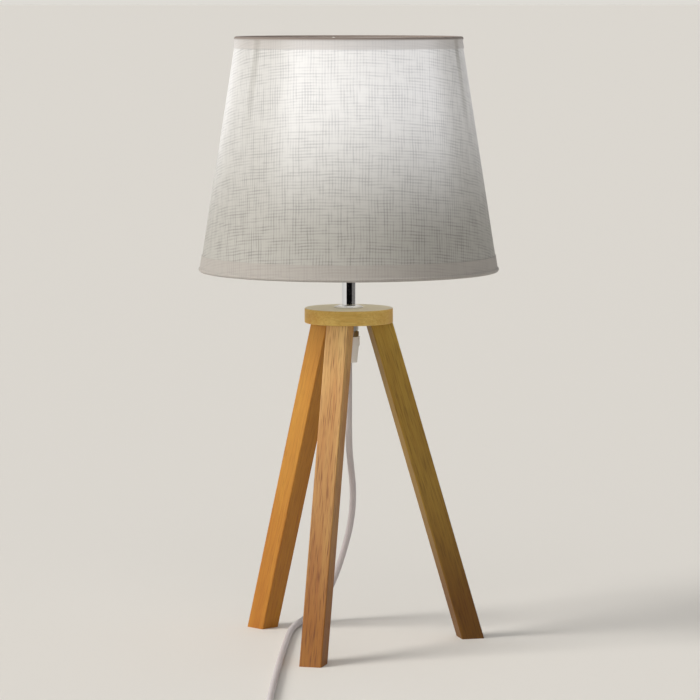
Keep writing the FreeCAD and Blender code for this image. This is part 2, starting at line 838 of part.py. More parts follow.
for number, side in enumerate((-1, 1)):
    middle = named("terminal_offset") * side
    height = insert_base - named("terminal_side")
    body = block(
        f"terminal_{number}",
        named("terminal_side"),
        named("terminal_side"),
        named("terminal_side"),
        x=middle,
        z=height,
    )
    places = {
        "x": middle,
        "y": -named("terminal_side") * 0.9,
        "z": height + named("terminal_side") / 2,
    }
    screw_room = lying_cylinder(
        f"terminal_room_{number}",
        named("terminal_screw") + gap,
        named("terminal_side"),
        along=Vector(0, 1, 0),
        **places,
    )
    screw = lying_cylinder(
        f"terminal_screw_{number}",
        named("terminal_screw"),
        named("terminal_side") - gap,
        along=Vector(0, 1, 0),
        **places,
    )
    terminals.append(cut(f"terminal_{number}", body, screw_room))
    terminal_screws.append(screw)
piece("holder_terminals", group("holder_terminals", terminals))
piece("terminal_screws", group("terminal_screws", terminal_screws))

# ---------------------------------------------------------------------------
# Bulb
# ---------------------------------------------------------------------------
tip_top = bulb_base + named("bulb_tip_height")
cap_foot = tip_top + named("bulb_glass_foot")
cap_top = cap_foot + named("bulb_cap_height")
cap_in = named("bulb_cap_radius") - named("bulb_cap_wall") * 2
foot_radius = named("bulb_cap_radius") * 0.72
piece(
    "bulb_contact",
    turned(
        "bulb_contact",
        [
            (0, bulb_base),
            (named("bulb_tip_radius") * 0.7, bulb_base),
            (named("bulb_tip_radius"), tip_top),
            (0, tip_top),
        ],
    ),
)
piece(
    "bulb_insulator",
    turned(
        "bulb_insulator",
        [
            (0, tip_top + gap),
            (named("bulb_tip_radius"), tip_top + gap),
            (foot_radius, cap_foot),
            (0, cap_foot),
        ],
    ),
)
cap_corners = []
crest_count = int((named("bulb_cap_height").mm - named("bulb_pitch").mm) / named("bulb_pitch").mm)
for number in range(crest_count):
    start = cap_foot + named("bulb_pitch") * (number + 0.7)
    cap_corners += [
        (named("bulb_cap_radius") - named("bulb_cap_wall"), start),
        (named("bulb_cap_radius"), start + named("bulb_pitch") * 0.35),
        (named("bulb_cap_radius"), start + named("bulb_pitch") * 0.6),
    ]
piece(
    "bulb_cap",
    turned(
        "bulb_cap",
        [
            (0, cap_foot + gap),
            (foot_radius, cap_foot + gap),
        ]
        + cap_corners
        + [
            (named("bulb_cap_radius") - named("bulb_cap_wall"), cap_top - named("bulb_cap_wall")),
            (named("bulb_cap_radius") - named("bulb_cap_wall"), cap_top),
            (cap_in, cap_top),
            (cap_in, cap_foot + named("bulb_pitch")),
            (0, cap_foot + named("bulb_cap_wall") * 2),
        ],
    ),
)

# The globe's cone meets its sphere where both have the same slope.
globe_top = bulb_base + named("bulb_length")
globe_middle = globe_top - named("bulb_radius")
flare_top = cap_top + named("neck_flare_height")


def bulb_shape(name, inset):
    """The globe, its cone and its neck, made smaller by inset all round."""
    radius = named("bulb_radius") - inset
    flare = named("neck_flare_radius") - inset
    drop = globe_middle - flare_top
    square = flare * flare + drop * drop
    tangent = square_root(square - radius * radius)
    meet_radius = radius * (radius * flare + tangent * drop) / square
    meet_height = globe_middle - radius * (radius * drop - tangent * flare) / square
    sphere = doc.addObject("Part::Sphere", f"{name}_sphere")
    bind(sphere, Radius=radius)
    put(sphere, z=globe_middle)
    neck_low = cap_top - named("neck_flare_height") / 2
    neck_high = cap_top + named("bulb_cap_wall")
    neck = cap_in - gap - inset
    upper = cone(f"{name}_cone", flare, meet_radius, flare_top, meet_height)
    lower = cone(f"{name}_flare", neck, flare, neck_high, flare_top)
    stub = cylinder(f"{name}_stub", neck, neck_high - neck_low, z=neck_low)
    return fuse(name, [sphere, upper, lower, stub])


piece(
    "bulb_globe",
    cut(
        "bulb_globe",
        bulb_shape("globe_outside", as_size(0)),
        bulb_shape("globe_inside", named("bulb_wall")),
    ),
)
mount_low = cap_top - named("neck_flare_height") / 2
mount_foot_radius = cap_in - gap - named("bulb_wall") - gap
mount_top = globe_middle - named("filament_length") / 2
piece(
    "filament_mount",
    turned(
        "filament_mount",
        [
            (0, mount_low),
            (mount_foot_radius, mount_low),
            (named("mount_radius"), mount_low + named("mount_radius")),
            (named("mount_radius"), mount_top - named("mount_radius")),
            (named("filament_circle") + named("filament_radius"), mount_top - named("filament_radius")),
            (named("filament_circle") + named("filament_radius"), mount_top),
            (0, mount_top),
        ],
    ),
)
filaments = []
for number in range(FILAMENT_COUNT):
    place = around(number * 360 / FILAMENT_COUNT, named("filament_circle").mm, mount_top.mm)
    filament = doc.addObject("Part::Cylinder", f"filament_{number}")
    bind(filament, Radius=named("filament_radius"), Height=named("filament_length"))
    filament.Placement.Base = place
    filaments.append(filament)
piece("bulb_filaments", group("bulb_filaments", filaments))

# ---------------------------------------------------------------------------
# Lead inside the lamp
# ---------------------------------------------------------------------------
sheath_top = holder_base + named("stem_in_holder")
piece(
    "stem_lead",
    cylinder("stem_lead", named("cord_radius"), sheath_top - grip_mouth, z=grip_mouth),
)
core_start = sheath_top.mm + gap.mm + named("core_radius").mm
core_end = insert_base.mm - named("terminal_side").mm - gap.mm - named("core_radius").mm
for name, side in (("live_core", -1), ("neutral_core", 1)):
    foot = Vector(side * (named("core_radius").mm + gap.mm), 0, core_start)
    head = Vector(side * named("terminal_offset").mm, 0, core_end)
    piece(name, rods(name, named("core_radius"), [(foot, head)]))


# ---------------------------------------------------------------------------
# Lead outside the lamp
# ---------------------------------------------------------------------------
def rounded_path(points):
    """Straight runs joined by tangent arcs, and the radius of each arc.

    Each arc is as large as its two runs allow: it takes 0.45 of the shorter run.
    """
    edges = []
    radii = []
    start = points[0]
    for before, corner, after in zip(points, points[1:], points[2:]):
        inwards = (corner - before).normalize()
        outwards = (after - corner).normalize()
        half_turn = inwards.getAngle(outwards) / 2
        reach = 0.45 * min((corner - before).Length, (after - corner).Length)
        radius = reach / math.tan(half_turn)
        arc_start = corner - inwards * reach
        arc_end = corner + outwards * reach
        middle = (outwards - inwards).normalize()
        to_middle = radius / math.cos(half_turn) - radius
        edges.append(Part.LineSegment(start, arc_start).toShape())
        edges.append(Part.Arc(arc_start, corner + middle * to_middle, arc_end).toShape())
        radii.append(radius)
        start = arc_end
    edges.append(Part.LineSegment(start, points[-1]).toShape())
    return edges, radii


def tube(edges, radius):
    """A round tube along joined edges, and the length of its middle line."""
    path = Part.Wire(edges)
    start = edges[0].valueAt(edges[0].FirstParameter)
    heading = edges[0].tangentAt(edges[0].FirstParameter)
    section = Part.Wire([Part.makeCircle(radius, start, heading)])
    solid = path.makePipeShell([section], True, False)
    expected = math.pi * radius**2 * path.Length
    if abs(solid.Volume - expected) > 0.01 * expected:
        raise ValueError(f"tube holds {solid.Volume:.1f} and should hold {expected:.1f}")
    return solid, path.Length


def lead(name, points):
    """A free stretch of the mains lead through a list of points."""
    points = [Vector(*point) for point in points]
    edges, radii = rounded_path(points)
    radius = named("cord_radius").mm
    solid, length = tube(edges, radius)
    thing = doc.addObject("Part::Feature", name)
    thing.Shape = solid
    tightest = min(radii)
    print(f"{name}: {length:.1f} long, radii {[round(r, 1) for r in radii]}, least {tightest:.1f}")
    piece(name, thing)
    return length


floor_line = named("cord_radius").mm
switch_axis = named("switch_height").mm / 2
switch_y = named("switch_line_y").mm
switch_start = named("switch_start_x").mm
switch_end = switch_start + named("switch_length").mm
grip_end = grip_mouth.mm

# Out of the grip, back and down behind the front leg, then forwards along the floor.
CORD_TO_SWITCH = [
    (0.0, 0.0, grip_end),
    (0.0, 0.0, 209.0),
    (0.0, 14.0, 187.0),
    (0.0, 38.0, 167.5),
    (0.6, 62.0, 144.0),
    (4.0, 77.0, 114.5),
    (2.2, 87.0, 86.5),
    (-4.2, 94.5, 60.0),
    (-12.0, 99.0, 36.0),
    (-22.0, 99.0, 15.5),
    (-35.5, 88.5, 4.5),
    (-44.0, 67.0, floor_line),
    (-48.2, 38.0, floor_line),
    (-50.8, -14.0, floor_line),
    (-53.4, -78.0, floor_line),
    (-55.6, -142.0, floor_line),
    (-57.3, -206.0, floor_line),
    (-58.4, -252.0, floor_line),
    (-58.2, -286.0, floor_line),
    (-49.0, -312.0, floor_line),
    (-30.0, -326.5, 4.2),
    (-17.0, switch_y, switch_axis),
    (switch_start, switch_y, switch_axis),
]
length_to_switch = lead("cord_to_switch", CORD_TO_SWITCH)

coil_axis = named("tie_thickness").mm + named("tie_gap").mm + named("cord_radius").mm
coil_x = named("coil_middle_x").mm
coil_straight = named("cord_radius").mm * 2
CORD_TO_COIL = [
    (switch_end, switch_y, switch_axis),
    (switch_end + 8.0, switch_y, switch_axis),
    (coil_x - coil_straight - 8.0, switch_y, coil_axis),
    (coil_x - coil_straight, switch_y, coil_axis),
]
length_to_coil = lead("cord_to_coil", CORD_TO_COIL)


def coil_path():
    """The coil's middle line: in towards the middle, up a layer, and out again.

    Each half turn is a half circle whose ends lie on one line across the coil. The
    half turn where the spiral reverses is tilted, and climbs to the upper layer.
    """
    radii = [named("coil_outer_radius").mm - k * named("coil_step").mm for k in range(HALF_TURNS_IN)]
    climb = radii[-1] - named("coil_step").mm
    radii = radii + [climb] + radii[::-1]
    upper = coil_axis + named("coil_layer_step").mm
    place = Vector(coil_x, switch_y, coil_axis)
    lead_in = place - Vector(coil_straight, 0, 0)
    edges = [Part.LineSegment(lead_in, place).toShape()]
    for number, radius in enumerate(radii):
        side = 1 if number % 2 == 0 else -1
        height = coil_axis if number < HALF_TURNS_IN else upper
        following = Vector(coil_x, place.y - side * 2 * radius, height)
        chord = following - place
        middle = place + chord * 0.5 + Vector(side * chord.Length / 2, 0, 0)
        edges.append(Part.Arc(place, middle, following).toShape())
        place = following
    edges.append(Part.LineSegment(place, place - Vector(coil_straight, 0, 0)).toShape())
    return edges, place


def least_gap(edges, diameter):
    """The least gap between stretches of a path that are over two diameters apart."""
    spots = []
    along = 0.0
    for edge in edges:
        count = max(2, int(edge.Length / 1.5))
        for number in range(count):
            place = edge.valueAt(
                edge.FirstParameter + (edge.LastParameter - edge.FirstParameter) * number / count
            )
            spots.append((along + edge.Length * number / count, place))
        along += edge.Length
    least = math.inf
    for number, (start, place) in enumerate(spots):
        for end, other in spots[number + 1 :]:
            if end - start > 4 * diameter:
                least = min(least, place.distanceToPoint(other))
    return least - diameter


coil_edges, coil_end = coil_path()
coil_solid, length_in_coil = tube(coil_edges, named("cord_radius").mm)
coil_gap = least_gap(coil_edges, named("cord_radius").mm * 2)
print(f"cord_coil: {length_in_coil:.1f} long, least gap to itself {coil_gap:.2f}")
coil = doc.addObject("Part::Feature", "cord_coil")
coil.Shape = coil_solid
piece("cord_coil", coil)

# The tie goes round the three turns beside the coil's middle, on the +X side.
tie_y = coil_edges[1].valueAt(coil_edges[1].LastParameter).y + named("coil_outer_radius").mm
tie_y -= named("coil_step").mm
inner_turn = named("coil_outer_radius").mm - (HALF_TURNS_IN - 1) * named("coil_step").mm
off_middle = named("coil_step").mm + named("tie_width").mm / 2
reach_in = math.sqrt(inner_turn**2 - off_middle**2)
tie_room_low = coil_x + reach_in - named("cord_radius").mm - named("tie_gap").mm
tie_room_high = coil_x + named("coil_outer_radius").mm + named("cord_radius").mm + named("tie_gap").mm
tie_wall = named("tie_thickness").mm
tie_room_height = (
    named("coil_layer_step").mm + named("cord_radius").mm * 2 + named("tie_gap").mm * 2
)
tie_length = tie_room_high - tie_room_low
tie = doc.addObject("Part::Feature", "cord_tie")
tie_outer = Part.makeBox(
    tie_length + 2 * tie_wall,
    named("tie_width").mm,
    tie_room_height + 2 * tie_wall,
    Vector(tie_room_low - tie_wall, tie_y - named("tie_width").mm / 2, 0),
)
tie_inner = Part.makeBox(
    tie_length,
    named("tie_width").mm,
    tie_room_height,
    Vector(tie_room_low, tie_y - named("tie_width").mm / 2, tie_wall),
)
tie.Shape = tie_outer.cut(tie_inner)
piece("cord_tie", tie)

plug_axis = named("plug_thickness").mm / 2
plug_y = coil_end.y
tail_start = coil_x - coil_straight
tail_end = tail_start - named("tail_length").mm
CORD_TO_PLUG = [
    (tail_start, plug_y, coil_end.z),
    (tail_start - 9.0, plug_y, coil_end.z),
    (tail_end + 9.0, plug_y, plug_axis),
    (tail_end, plug_y, plug_axis),
]
length_to_plug = lead("cord_to_plug", CORD_TO_PLUG)
total = length_to_switch + length_to_coil + length_in_coil + length_to_plug
print(f"mains lead outside the lamp: {total:.0f} long")

# ---------------------------------------------------------------------------
# In-line switch: two halves, rocker, screws, terminals and the lead's ends
# ---------------------------------------------------------------------------
switch_middle = named("switch_start_x") + named("switch_length") / 2
split = named("switch_height") / 2
half_length = named("switch_length") / 2
half_neck = named("switch_neck") / 2
half_shoulder = named("switch_shoulder") / 2
half_width = named("switch_width") / 2
HOUSING = [
    (-half_length, -half_neck),
    (-half_shoulder, -half_width),
    (half_shoulder, -half_width),
    (half_length, -half_neck),
    (half_length, half_neck),
    (half_shoulder, half_width),
    (-half_shoulder, half_width),
    (-half_length, half_neck),
]


def at_switch(thing, height):
    put(thing, switch_middle, named("switch_line_y"), height)
    return thing


def housing_half(name, base, height, outer_face):
    """A half of the housing, rounded along its outer face."""
    body, pad = padded(name, HOUSING, height)
    face_edge = outer_face.mm - base.mm
    rounded(
        body,
        name,
        pad,
        named("switch_edge"),
        lambda edge: all(abs(v.Z - face_edge) < 0.01 for v in edge.Vertexes),
    )
    return at_switch(body, base)


screw_room_radius = named("switch_screw") + gap
screw_rooms = []
switch_screws = []
screw_top = named("switch_height") - named("switch_wall")
head_height = named("switch_wall")
for number, (along, across) in enumerate(((-1, -1), (1, 1))):
    x = switch_middle + named("switch_screw_x") * along
    y = named("switch_line_y") + named("switch_screw_y") * across
    screw_rooms.append(cylinder(f"switch_screw_room_{number}", screw_room_radius, screw_top, x, y))
    switch_screws.append(
        cylinder(
            f"switch_screw_{number}",
            named("switch_screw"),
            screw_top - gap - head_height / 2,
            x,
            y,
            head_height / 2,
        )
    )
lead_room = lying_cylinder(
    "switch_lead_room",
    cord_room,
    named("switch_length"),
    x=named("switch_start_x"),
    y=named("switch_line_y"),
    z=split,
)
cavity_width = named("rocker_width") + run * 2
cavity = block(
    "switch_cavity",
    named("switch_shoulder") - named("switch_wall"),
    cavity_width,
    split - named("switch_wall"),
    x=switch_middle,
    y=named("switch_line_y"),
    z=named("switch_wall"),
)
base_half = housing_half("switch_base", as_size(0), split, as_size(0))
piece("switch_base", cut("switch_base", base_half, cavity, lead_room, *screw_rooms))

rocker_room = block(
    "rocker_room",
    named("rocker_length") + named("rocker_end_gap") * 2,
    cavity_width,
    split + run,
    x=switch_middle,
    y=named("switch_line_y"),
    z=split,
)
axle_length = cavity_width + named("switch_wall") * 2
axle_room = lying_cylinder(
    "axle_room",
    named("rocker_axle") + gap,
    axle_length + gap * 2,
    x=switch_middle,
    y=named("switch_line_y") - axle_length / 2 - gap,
    z=named("rocker_pivot"),
    along=Vector(0, 1, 0),
)
cover_half = housing_half("switch_cover", split + gap, split - gap, named("switch_height"))
piece(
    "switch_cover",
    cut("switch_cover", cover_half, rocker_room, lead_room, axle_room, *screw_rooms),
)

half_rocker = named("rocker_length") / 2
pivot = named("rocker_pivot")
tip = named("switch_height") + named("rocker_rise") - pivot
dip = named("switch_height") + named("rocker_dip") - pivot
belly = pivot - split - run * 2
rocker_body, rocker_sketch = sketched_body(
    "switch_rocker",
    "XZ_Plane",
    [
        (-half_rocker, tip),
        (-half_rocker, tip / 3),
        (-half_rocker / 3, -belly),
        (half_rocker / 3, -belly),
        (half_rocker, tip / 3),
        (half_rocker, tip),
        (0, dip),
    ],
)
rocker_pad = rocker_body.newObject("PartDesign::Pad", "switch_rocker_pad")
rocker_pad.Profile = rocker_sketch
rocker_pad.Midplane = True
bind(rocker_pad, Length=named("rocker_width"))
axle = doc.addObject("Part::Cylinder", "rocker_axle")
bind(axle, Radius=named("rocker_axle"), Height=axle_length)
axle.Placement = Placement(Vector(0, axle_length.mm / 2, 0), Rotation(Vector(1, 0, 0), 90))
rocker = fuse("switch_rocker", [rocker_body, axle])
rocker.Placement = Placement(
    Vector(switch_middle.mm, switch_y, pivot.mm),
    Rotation(Vector(0, 1, 0), named("rocker_tilt").mm),
)
piece("switch_rocker", rocker)
piece("switch_screws", group("switch_screws", switch_screws))

inside = named("lead_inside_switch")
ends = [
    lying_cylinder(
        f"switch_lead_{number}",
        named("cord_radius"),
        inside,
        x=start,
        y=named("switch_line_y"),
        z=split,
    )
    for number, start in enumerate(
        (named("switch_start_x"), named("switch_start_x") + named("switch_length") - inside)
    )
]
piece("switch_lead_ends", group("switch_lead_ends", ends))

block_side = named("terminal_side") * 0.8
block_offset = half_shoulder - named("terminal_side")
switch_blocks = [
    block(
        f"switch_block_{number}",
        block_side,
        block_side,
        block_side,
        x=switch_middle + block_offset * side,
        y=named("switch_line_y") - named("core_radius") * 2,
        z=named("switch_wall"),
    )
    for number, side in enumerate((-1, 1))
]
piece("switch_terminals", group("switch_terminals", switch_blocks))
core_y = switch_y - named("core_radius").mm - gap.mm
core_height = switch_axis - named("core_radius").mm
live_ends = []
for side in (-1, 1):
    sheath_end = switch_middle.mm + side * (half_length.mm - inside.mm - gap.mm)
    block_face = switch_middle.mm + side * (block_offset.mm + block_side.mm / 2 + gap.mm)
    live_ends.append(
        (Vector(sheath_end, core_y, core_height), Vector(block_face, core_y, core_height))
    )
piece("switch_live_cores", rods("switch_live_cores", named("core_radius"), live_ends))
neutral_y = switch_y + named("core_radius").mm + gap.mm
reach = half_length.mm - inside.mm - gap.mm
piece(
    "switch_neutral_core",
    rods(
        "switch_neutral_core",
        named("core_radius"),
        [
            (
                Vector(switch_middle.mm - reach, neutral_y, core_height),
                Vector(switch_middle.mm + reach, neutral_y, core_height),
            )
        ],
    ),
)

# ---------------------------------------------------------------------------
# Plug: moulded body with its strain relief, two pins and their sleeves
# ---------------------------------------------------------------------------
half_plug = named("plug_width") / 2
half_back = named("plug_back_width") / 2
plug_shape, plug_pad = padded(
    "plug_body",
    [
        (0, -half_plug),
        (named("plug_square"), -half_plug),
        (named("plug_length"), -half_back),
        (named("plug_length"), half_back),
        (named("plug_square"), half_plug),
        (0, half_plug),
    ],
    named("plug_thickness"),
)
rounded(
    plug_shape,
    "plug_body",
    plug_pad,
    named("plug_edge"),
    lambda edge: max(v.X for v in edge.Vertexes) > 0.01,
)
plug_front = tail_end - named("relief_length").mm - named("plug_length").mm
plug_shape.Placement.Base = Vector(plug_front, plug_y, 0)
relief = doc.addObject("Part::Cone", "relief")
bind(
    relief,
    Radius1=named("relief_radius"),
    Radius2=named("relief_mouth"),
    Height=named("relief_length"),
)
relief.Placement = Placement(
    Vector(tail_end - named("relief_length").mm, plug_y, plug_axis),
    Rotation(Vector(0, 0, 1), Vector(1, 0, 0)),
)
pins = []
sleeves = []
pin_rooms = []
sleeve_length = named("pin_length") - named("pin_bare")
for number, side in enumerate((-1, 1)):
    y = plug_y + side * named("pin_spacing").mm / 2

    def along_pin(name, radius, start, length):
        thing = doc.addObject("Part::Cylinder", f"{name}_{number}")
        bind(thing, Radius=radius, Height=length)
        thing.Placement = Placement(
            Vector(plug_front + start.mm, y, plug_axis), Rotation(Vector(0, 0, 1), Vector(1, 0, 0))
        )
        return thing

    bare = along_pin("pin_bare", named("pin_radius"), -named("pin_length"), named("pin_bare"))
    core = along_pin(
        "pin_core",
        named("pin_core"),
        -named("pin_length"),
        named("pin_length") + named("pin_inside"),
    )
    pins.append(fuse(f"plug_pin_{number}", [bare, core]))
    outer = along_pin("sleeve", named("sleeve_radius"), -sleeve_length, sleeve_length)
    bore = along_pin("sleeve_bore", named("pin_core") + gap, -sleeve_length, sleeve_length)
    sleeves.append(cut(f"pin_sleeve_{number}", outer, bore))
    pin_rooms.append(
        along_pin("pin_room", named("pin_core") + gap, as_size(0), named("pin_inside") + gap)
    )
piece("plug_body", cut("plug_body", fuse("plug_moulding", [plug_shape, relief]), *pin_rooms))
piece("plug_pins", group("plug_pins", pins))
piece("pin_sleeves", group("pin_sleeves", sleeves))

# ---------------------------------------------------------------------------
# Checks and export
# ---------------------------------------------------------------------------
doc.recompute()
for thing in doc.Objects:
    if "Invalid" in thing.State or "Error" in thing.State:
        raise ValueError(f"{thing.Label} didn't build: {thing.State}")
for name, thing in pieces.items():
    if thing.Shape.isNull() or not thing.Shape.isValid():
        raise ValueError(f"{name} has no valid shape")
    if not thing.Shape.Solids:
        raise ValueError(f"{name} holds no solid")
for name, thing in pieces.items():
    thing.Shape.exportStep(f"parts/{name}.step")
    print(f"{name}: {len(thing.Shape.Solids)} solids, {thing.Shape.Volume:.1f} mm3")
print(f"{len(pieces)} nodes")
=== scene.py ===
# %% [markdown]
# # Tripod table lamp
# A linen shade on a chrome stem, a round wooden plate and three splayed legs. The
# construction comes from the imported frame, and this script gives every piece its finish.
# The shapes that a finish needs, such as rolled hems and the smooth mains lead, are
# modelled here over the solids that they stand for.

# %% Load the frame
import math

import bmesh
import bpy
from mathutils import Matrix, Vector


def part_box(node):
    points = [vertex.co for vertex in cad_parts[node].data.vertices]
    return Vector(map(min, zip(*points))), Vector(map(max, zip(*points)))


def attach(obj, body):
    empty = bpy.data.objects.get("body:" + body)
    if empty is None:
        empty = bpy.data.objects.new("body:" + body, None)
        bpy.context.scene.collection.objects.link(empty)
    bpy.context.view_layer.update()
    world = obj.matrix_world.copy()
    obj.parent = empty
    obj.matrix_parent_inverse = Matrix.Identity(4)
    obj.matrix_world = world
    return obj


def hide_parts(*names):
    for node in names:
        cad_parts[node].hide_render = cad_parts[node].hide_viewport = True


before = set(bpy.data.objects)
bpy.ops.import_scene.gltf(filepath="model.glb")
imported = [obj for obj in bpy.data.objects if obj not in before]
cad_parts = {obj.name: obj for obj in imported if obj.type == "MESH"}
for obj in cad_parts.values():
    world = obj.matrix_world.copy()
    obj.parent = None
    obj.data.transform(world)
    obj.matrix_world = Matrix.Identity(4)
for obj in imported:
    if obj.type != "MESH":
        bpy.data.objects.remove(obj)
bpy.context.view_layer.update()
MM = 0.001

# %% Helpers for colours, nodes and objects


def linear(hex_colour):
    """An sRGB hex value as the linear colour that a shader takes."""
    channels = [int(hex_colour[start : start + 2], 16) / 255 for start in (1, 3, 5)]
    rgb = [c / 12.92 if c <= 0.04045 else ((c + 0.055) / 1.055) ** 2.4 for c in channels]
    return (*rgb, 1.0)


def add_node(tree, kind, inputs=None, **settings):
    """Adds a node. An input is a value, or another node's output to link from."""
    node = tree.nodes.new(kind)
    for name, value in settings.items():
        setattr(node, name, value)
    for socket, value in (inputs or {}).items():
        if isinstance(value, bpy.types.NodeSocket):
            tree.links.new(value, node.inputs[socket])
        else:
            node.inputs[socket].default_value = value
    return node


def into_scene(name, data):
    """An object with the data given, in the scene at the origin and unturned."""
    thing = bpy.data.objects.new(name, data)
    bpy.context.scene.collection.objects.link(thing)
    return thing


def mesh_object(name, mesh):
    """An object in the scene with the faces of a bmesh, which is freed."""
    data = bpy.data.meshes.new(name)
    mesh.to_mesh(data)
    mesh.free()
    return into_scene(name, data)


def new_material(name):
    """A new material, its node tree and its Principled shader."""
    material = bpy.data.materials.new(name)
    material.use_nodes = True
    return material, material.node_tree, material.node_tree.nodes["Principled BSDF"]


# %% [markdown]
# ## Camera
# The photograph was taken from far away with a long lens, a little above the lamp. The
# view's pitch, distance and focal length were fitted to the edges of the shade, the plate
# and the legs. A long lens keeps the ellipses of the rims flat, so these numbers matter
# more to the likeness than any single piece does.

# %% Camera at the photograph's viewing angle
LENS_MM = 183.2
CAMERA_PLACE = (1.0 * MM, -2850.2 * MM, 518.8 * MM)
CAMERA_PITCH_DOWN = math.radians(5.622)

camera_data = bpy.data.cameras.new("camera")
camera_data.lens = LENS_MM
camera_data.sensor_width = 36.0
camera_data.clip_end = 400.0
camera = into_scene("camera", camera_data)
camera.location = CAMERA_PLACE
camera.rotation_euler = (math.pi / 2 - CAMERA_PITCH_DOWN, 0.0, 0.0)
bpy.context.scene.camera = camera

# %% [markdown]
# ## Studio
# A plain pale floor under soft light. The world gives most of the light, so the floor is
# evenly lit as far as the camera sees. Two wide suns add direction: the main one from the
# front left, as the lit faces of the legs show, and a weak one from the front. Metal and
# glass see a darker room behind the camera, as in a studio, because a chrome tube in a
# white box has no edges.

# %% World and lamps
BACKGROUND = "#DFDCD6"
ROOM_LEVEL = 0.40
BEHIND_CAMERA_LEVEL = 0.16
WARM_WHITE = (1.0, 0.97, 0.92)

world = bpy.data.worlds.new("studio")
bpy.context.scene.world = world
world.use_nodes = True
sky = world.node_tree
sky.nodes.clear()
rays = add_node(sky, "ShaderNodeLightPath")
direction = add_node(sky, "ShaderNodeTexCoord")
depth = add_node(sky, "ShaderNodeSeparateXYZ", {0: direction.outputs["Generated"]})
back_to_front = add_node(
    sky,
    "ShaderNodeMapRange",
    {
        "Value": depth.outputs["Y"],
        "From Min": -0.8,
        "From Max": 0.1,
        "To Min": BEHIND_CAMERA_LEVEL,
    },
)
ambient = add_node(sky, "ShaderNodeBackground", {"Color": (1, 1, 1, 1), "Strength": ROOM_LEVEL})
backdrop = add_node(sky, "ShaderNodeBackground", {"Color": linear(BACKGROUND), "Strength": 1.0})
mirrored = add_node(
    sky,
    "ShaderNodeBackground",
    {"Color": linear(BACKGROUND), "Strength": back_to_front.outputs["Result"]},
)
gloss_or_glass = add_node(
    sky,
    "ShaderNodeMath",
    {0: rays.outputs["Is Glossy Ray"], 1: rays.outputs["Is Transmission Ray"]},
    operation="MAXIMUM",
)
lit_or_mirrored = add_node(
    sky,
    "ShaderNodeMixShader",
    {0: gloss_or_glass.outputs[0], 1: ambient.outputs[0], 2: mirrored.outputs[0]},
)
seen = add_node(
    sky,
    "ShaderNodeMixShader",
    {0: rays.outputs["Is Camera Ray"], 1: lit_or_mirrored.outputs[0], 2: backdrop.outputs[0]},
)
add_node(sky, "ShaderNodeOutputWorld", {"Surface": seen.outputs[0]})


def sun(name, strength, spread, turned, tipped):
    """A wide sun. It shines down from tipped degrees off the vertical, turned about it."""
    data = bpy.data.lights.new(name, "SUN")
    data.energy = strength
    data.angle = math.radians(spread)
    data.color = WARM_WHITE
    lamp = into_scene(name, data)
    lamp.rotation_euler = (math.radians(tipped), 0.0, math.radians(turned))


sun("main_softbox", strength=2.5, spread=28, turned=-66, tipped=58)
sun("front_softbox", strength=0.45, spread=50, turned=-10, tipped=50)

# %% Floor
FLOOR_COLOUR = "#E4E1DC"
FLOOR_RADIUS = 350.0

floor_mesh = bmesh.new()
bmesh.ops.create_circle(floor_mesh, cap_ends=True, segments=96, radius=FLOOR_RADIUS)
floor = mesh_object("floor", floor_mesh)
floor_paint, _, floor_shader = new_material("matt_studio_floor")
floor_shader.inputs["Base Color"].default_value = linear(FLOOR_COLOUR)
floor_shader.inputs["Roughness"].default_value = 0.75
floor_shader.inputs["Specular IOR Level"].default_value = 0.2
floor.data.materials.append(floor_paint)

# %% [markdown]
# ## Flags for the chrome
# A round chrome tube mirrors the whole room in a narrow stripe, and in the photograph its
# middle is nearly black between a white stripe and a grey one. Studios get that with
# cards, called flags. A black one stands in front, off to the right, and a grey one
# beside the lamp. Only reflections see them, so they take no light from the lamp and
# never show in a view.

# %% Flags
FLAG_HALF_HEIGHT = 1.5


def flag(name, colour, half_width, x, y, turn):
    """A standing card. Its place and half width are in metres, its turn in degrees."""
    mesh = bmesh.new()
    bmesh.ops.create_grid(mesh, x_segments=1, y_segments=1, size=1.0)
    bmesh.ops.scale(mesh, vec=(half_width, FLAG_HALF_HEIGHT, 1.0), verts=mesh.verts)
    stand_up = Matrix.Rotation(math.pi / 2, 3, "X")
    turn_round = Matrix.Rotation(math.radians(turn), 3, "Z")
    bmesh.ops.rotate(mesh, matrix=turn_round @ stand_up, verts=mesh.verts)
    bmesh.ops.translate(mesh, vec=(x, y, FLAG_HALF_HEIGHT), verts=mesh.verts)
    card = mesh_object(name, mesh)
    card.visible_camera = False
    card.visible_diffuse = False
    card.visible_shadow = False
    paint, _, shader = new_material(name + "_card")
    shader.inputs["Base Color"].default_value = linear(colour)
    shader.inputs["Specular IOR Level"].default_value = 0.0
    card.data.materials.append(paint)


flag("black_flag", "#121011", half_width=1.66, x=0.575, y=-1.4, turn=0)
flag("grey_flag", "#6E6C6A", half_width=2.2, x=2.24, y=0.8, turn=90)

# %% [markdown]
# ## Mains lead
# The lead is a round white flex of 5.4 mm. Each free length is one smooth curve: a NURBS
# spline whose control points are the turns of the route. A spline is right for a cable,
# because its bend changes gradually, as a stiff flex's does. The first length hangs out
# of the cord grip, bellies out behind the legs, and runs forward on the floor to the
# in-line switch. The second goes on from the switch into a neat coil, which is the length
# that the photograph doesn't show, put away, and ends in the plug.

# %% Sizes of the lead
LEAD_DIAMETER = 5.4 * MM
SWITCH_Y = -330.0
SWITCH_AXIS = 6.5
FLOOR_LINE = 2.7
GRIP_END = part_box("cord_grip")[0].z / MM
SWITCH_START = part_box("switch_base")[0].x / MM
SWITCH_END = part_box("switch_base")[1].x / MM

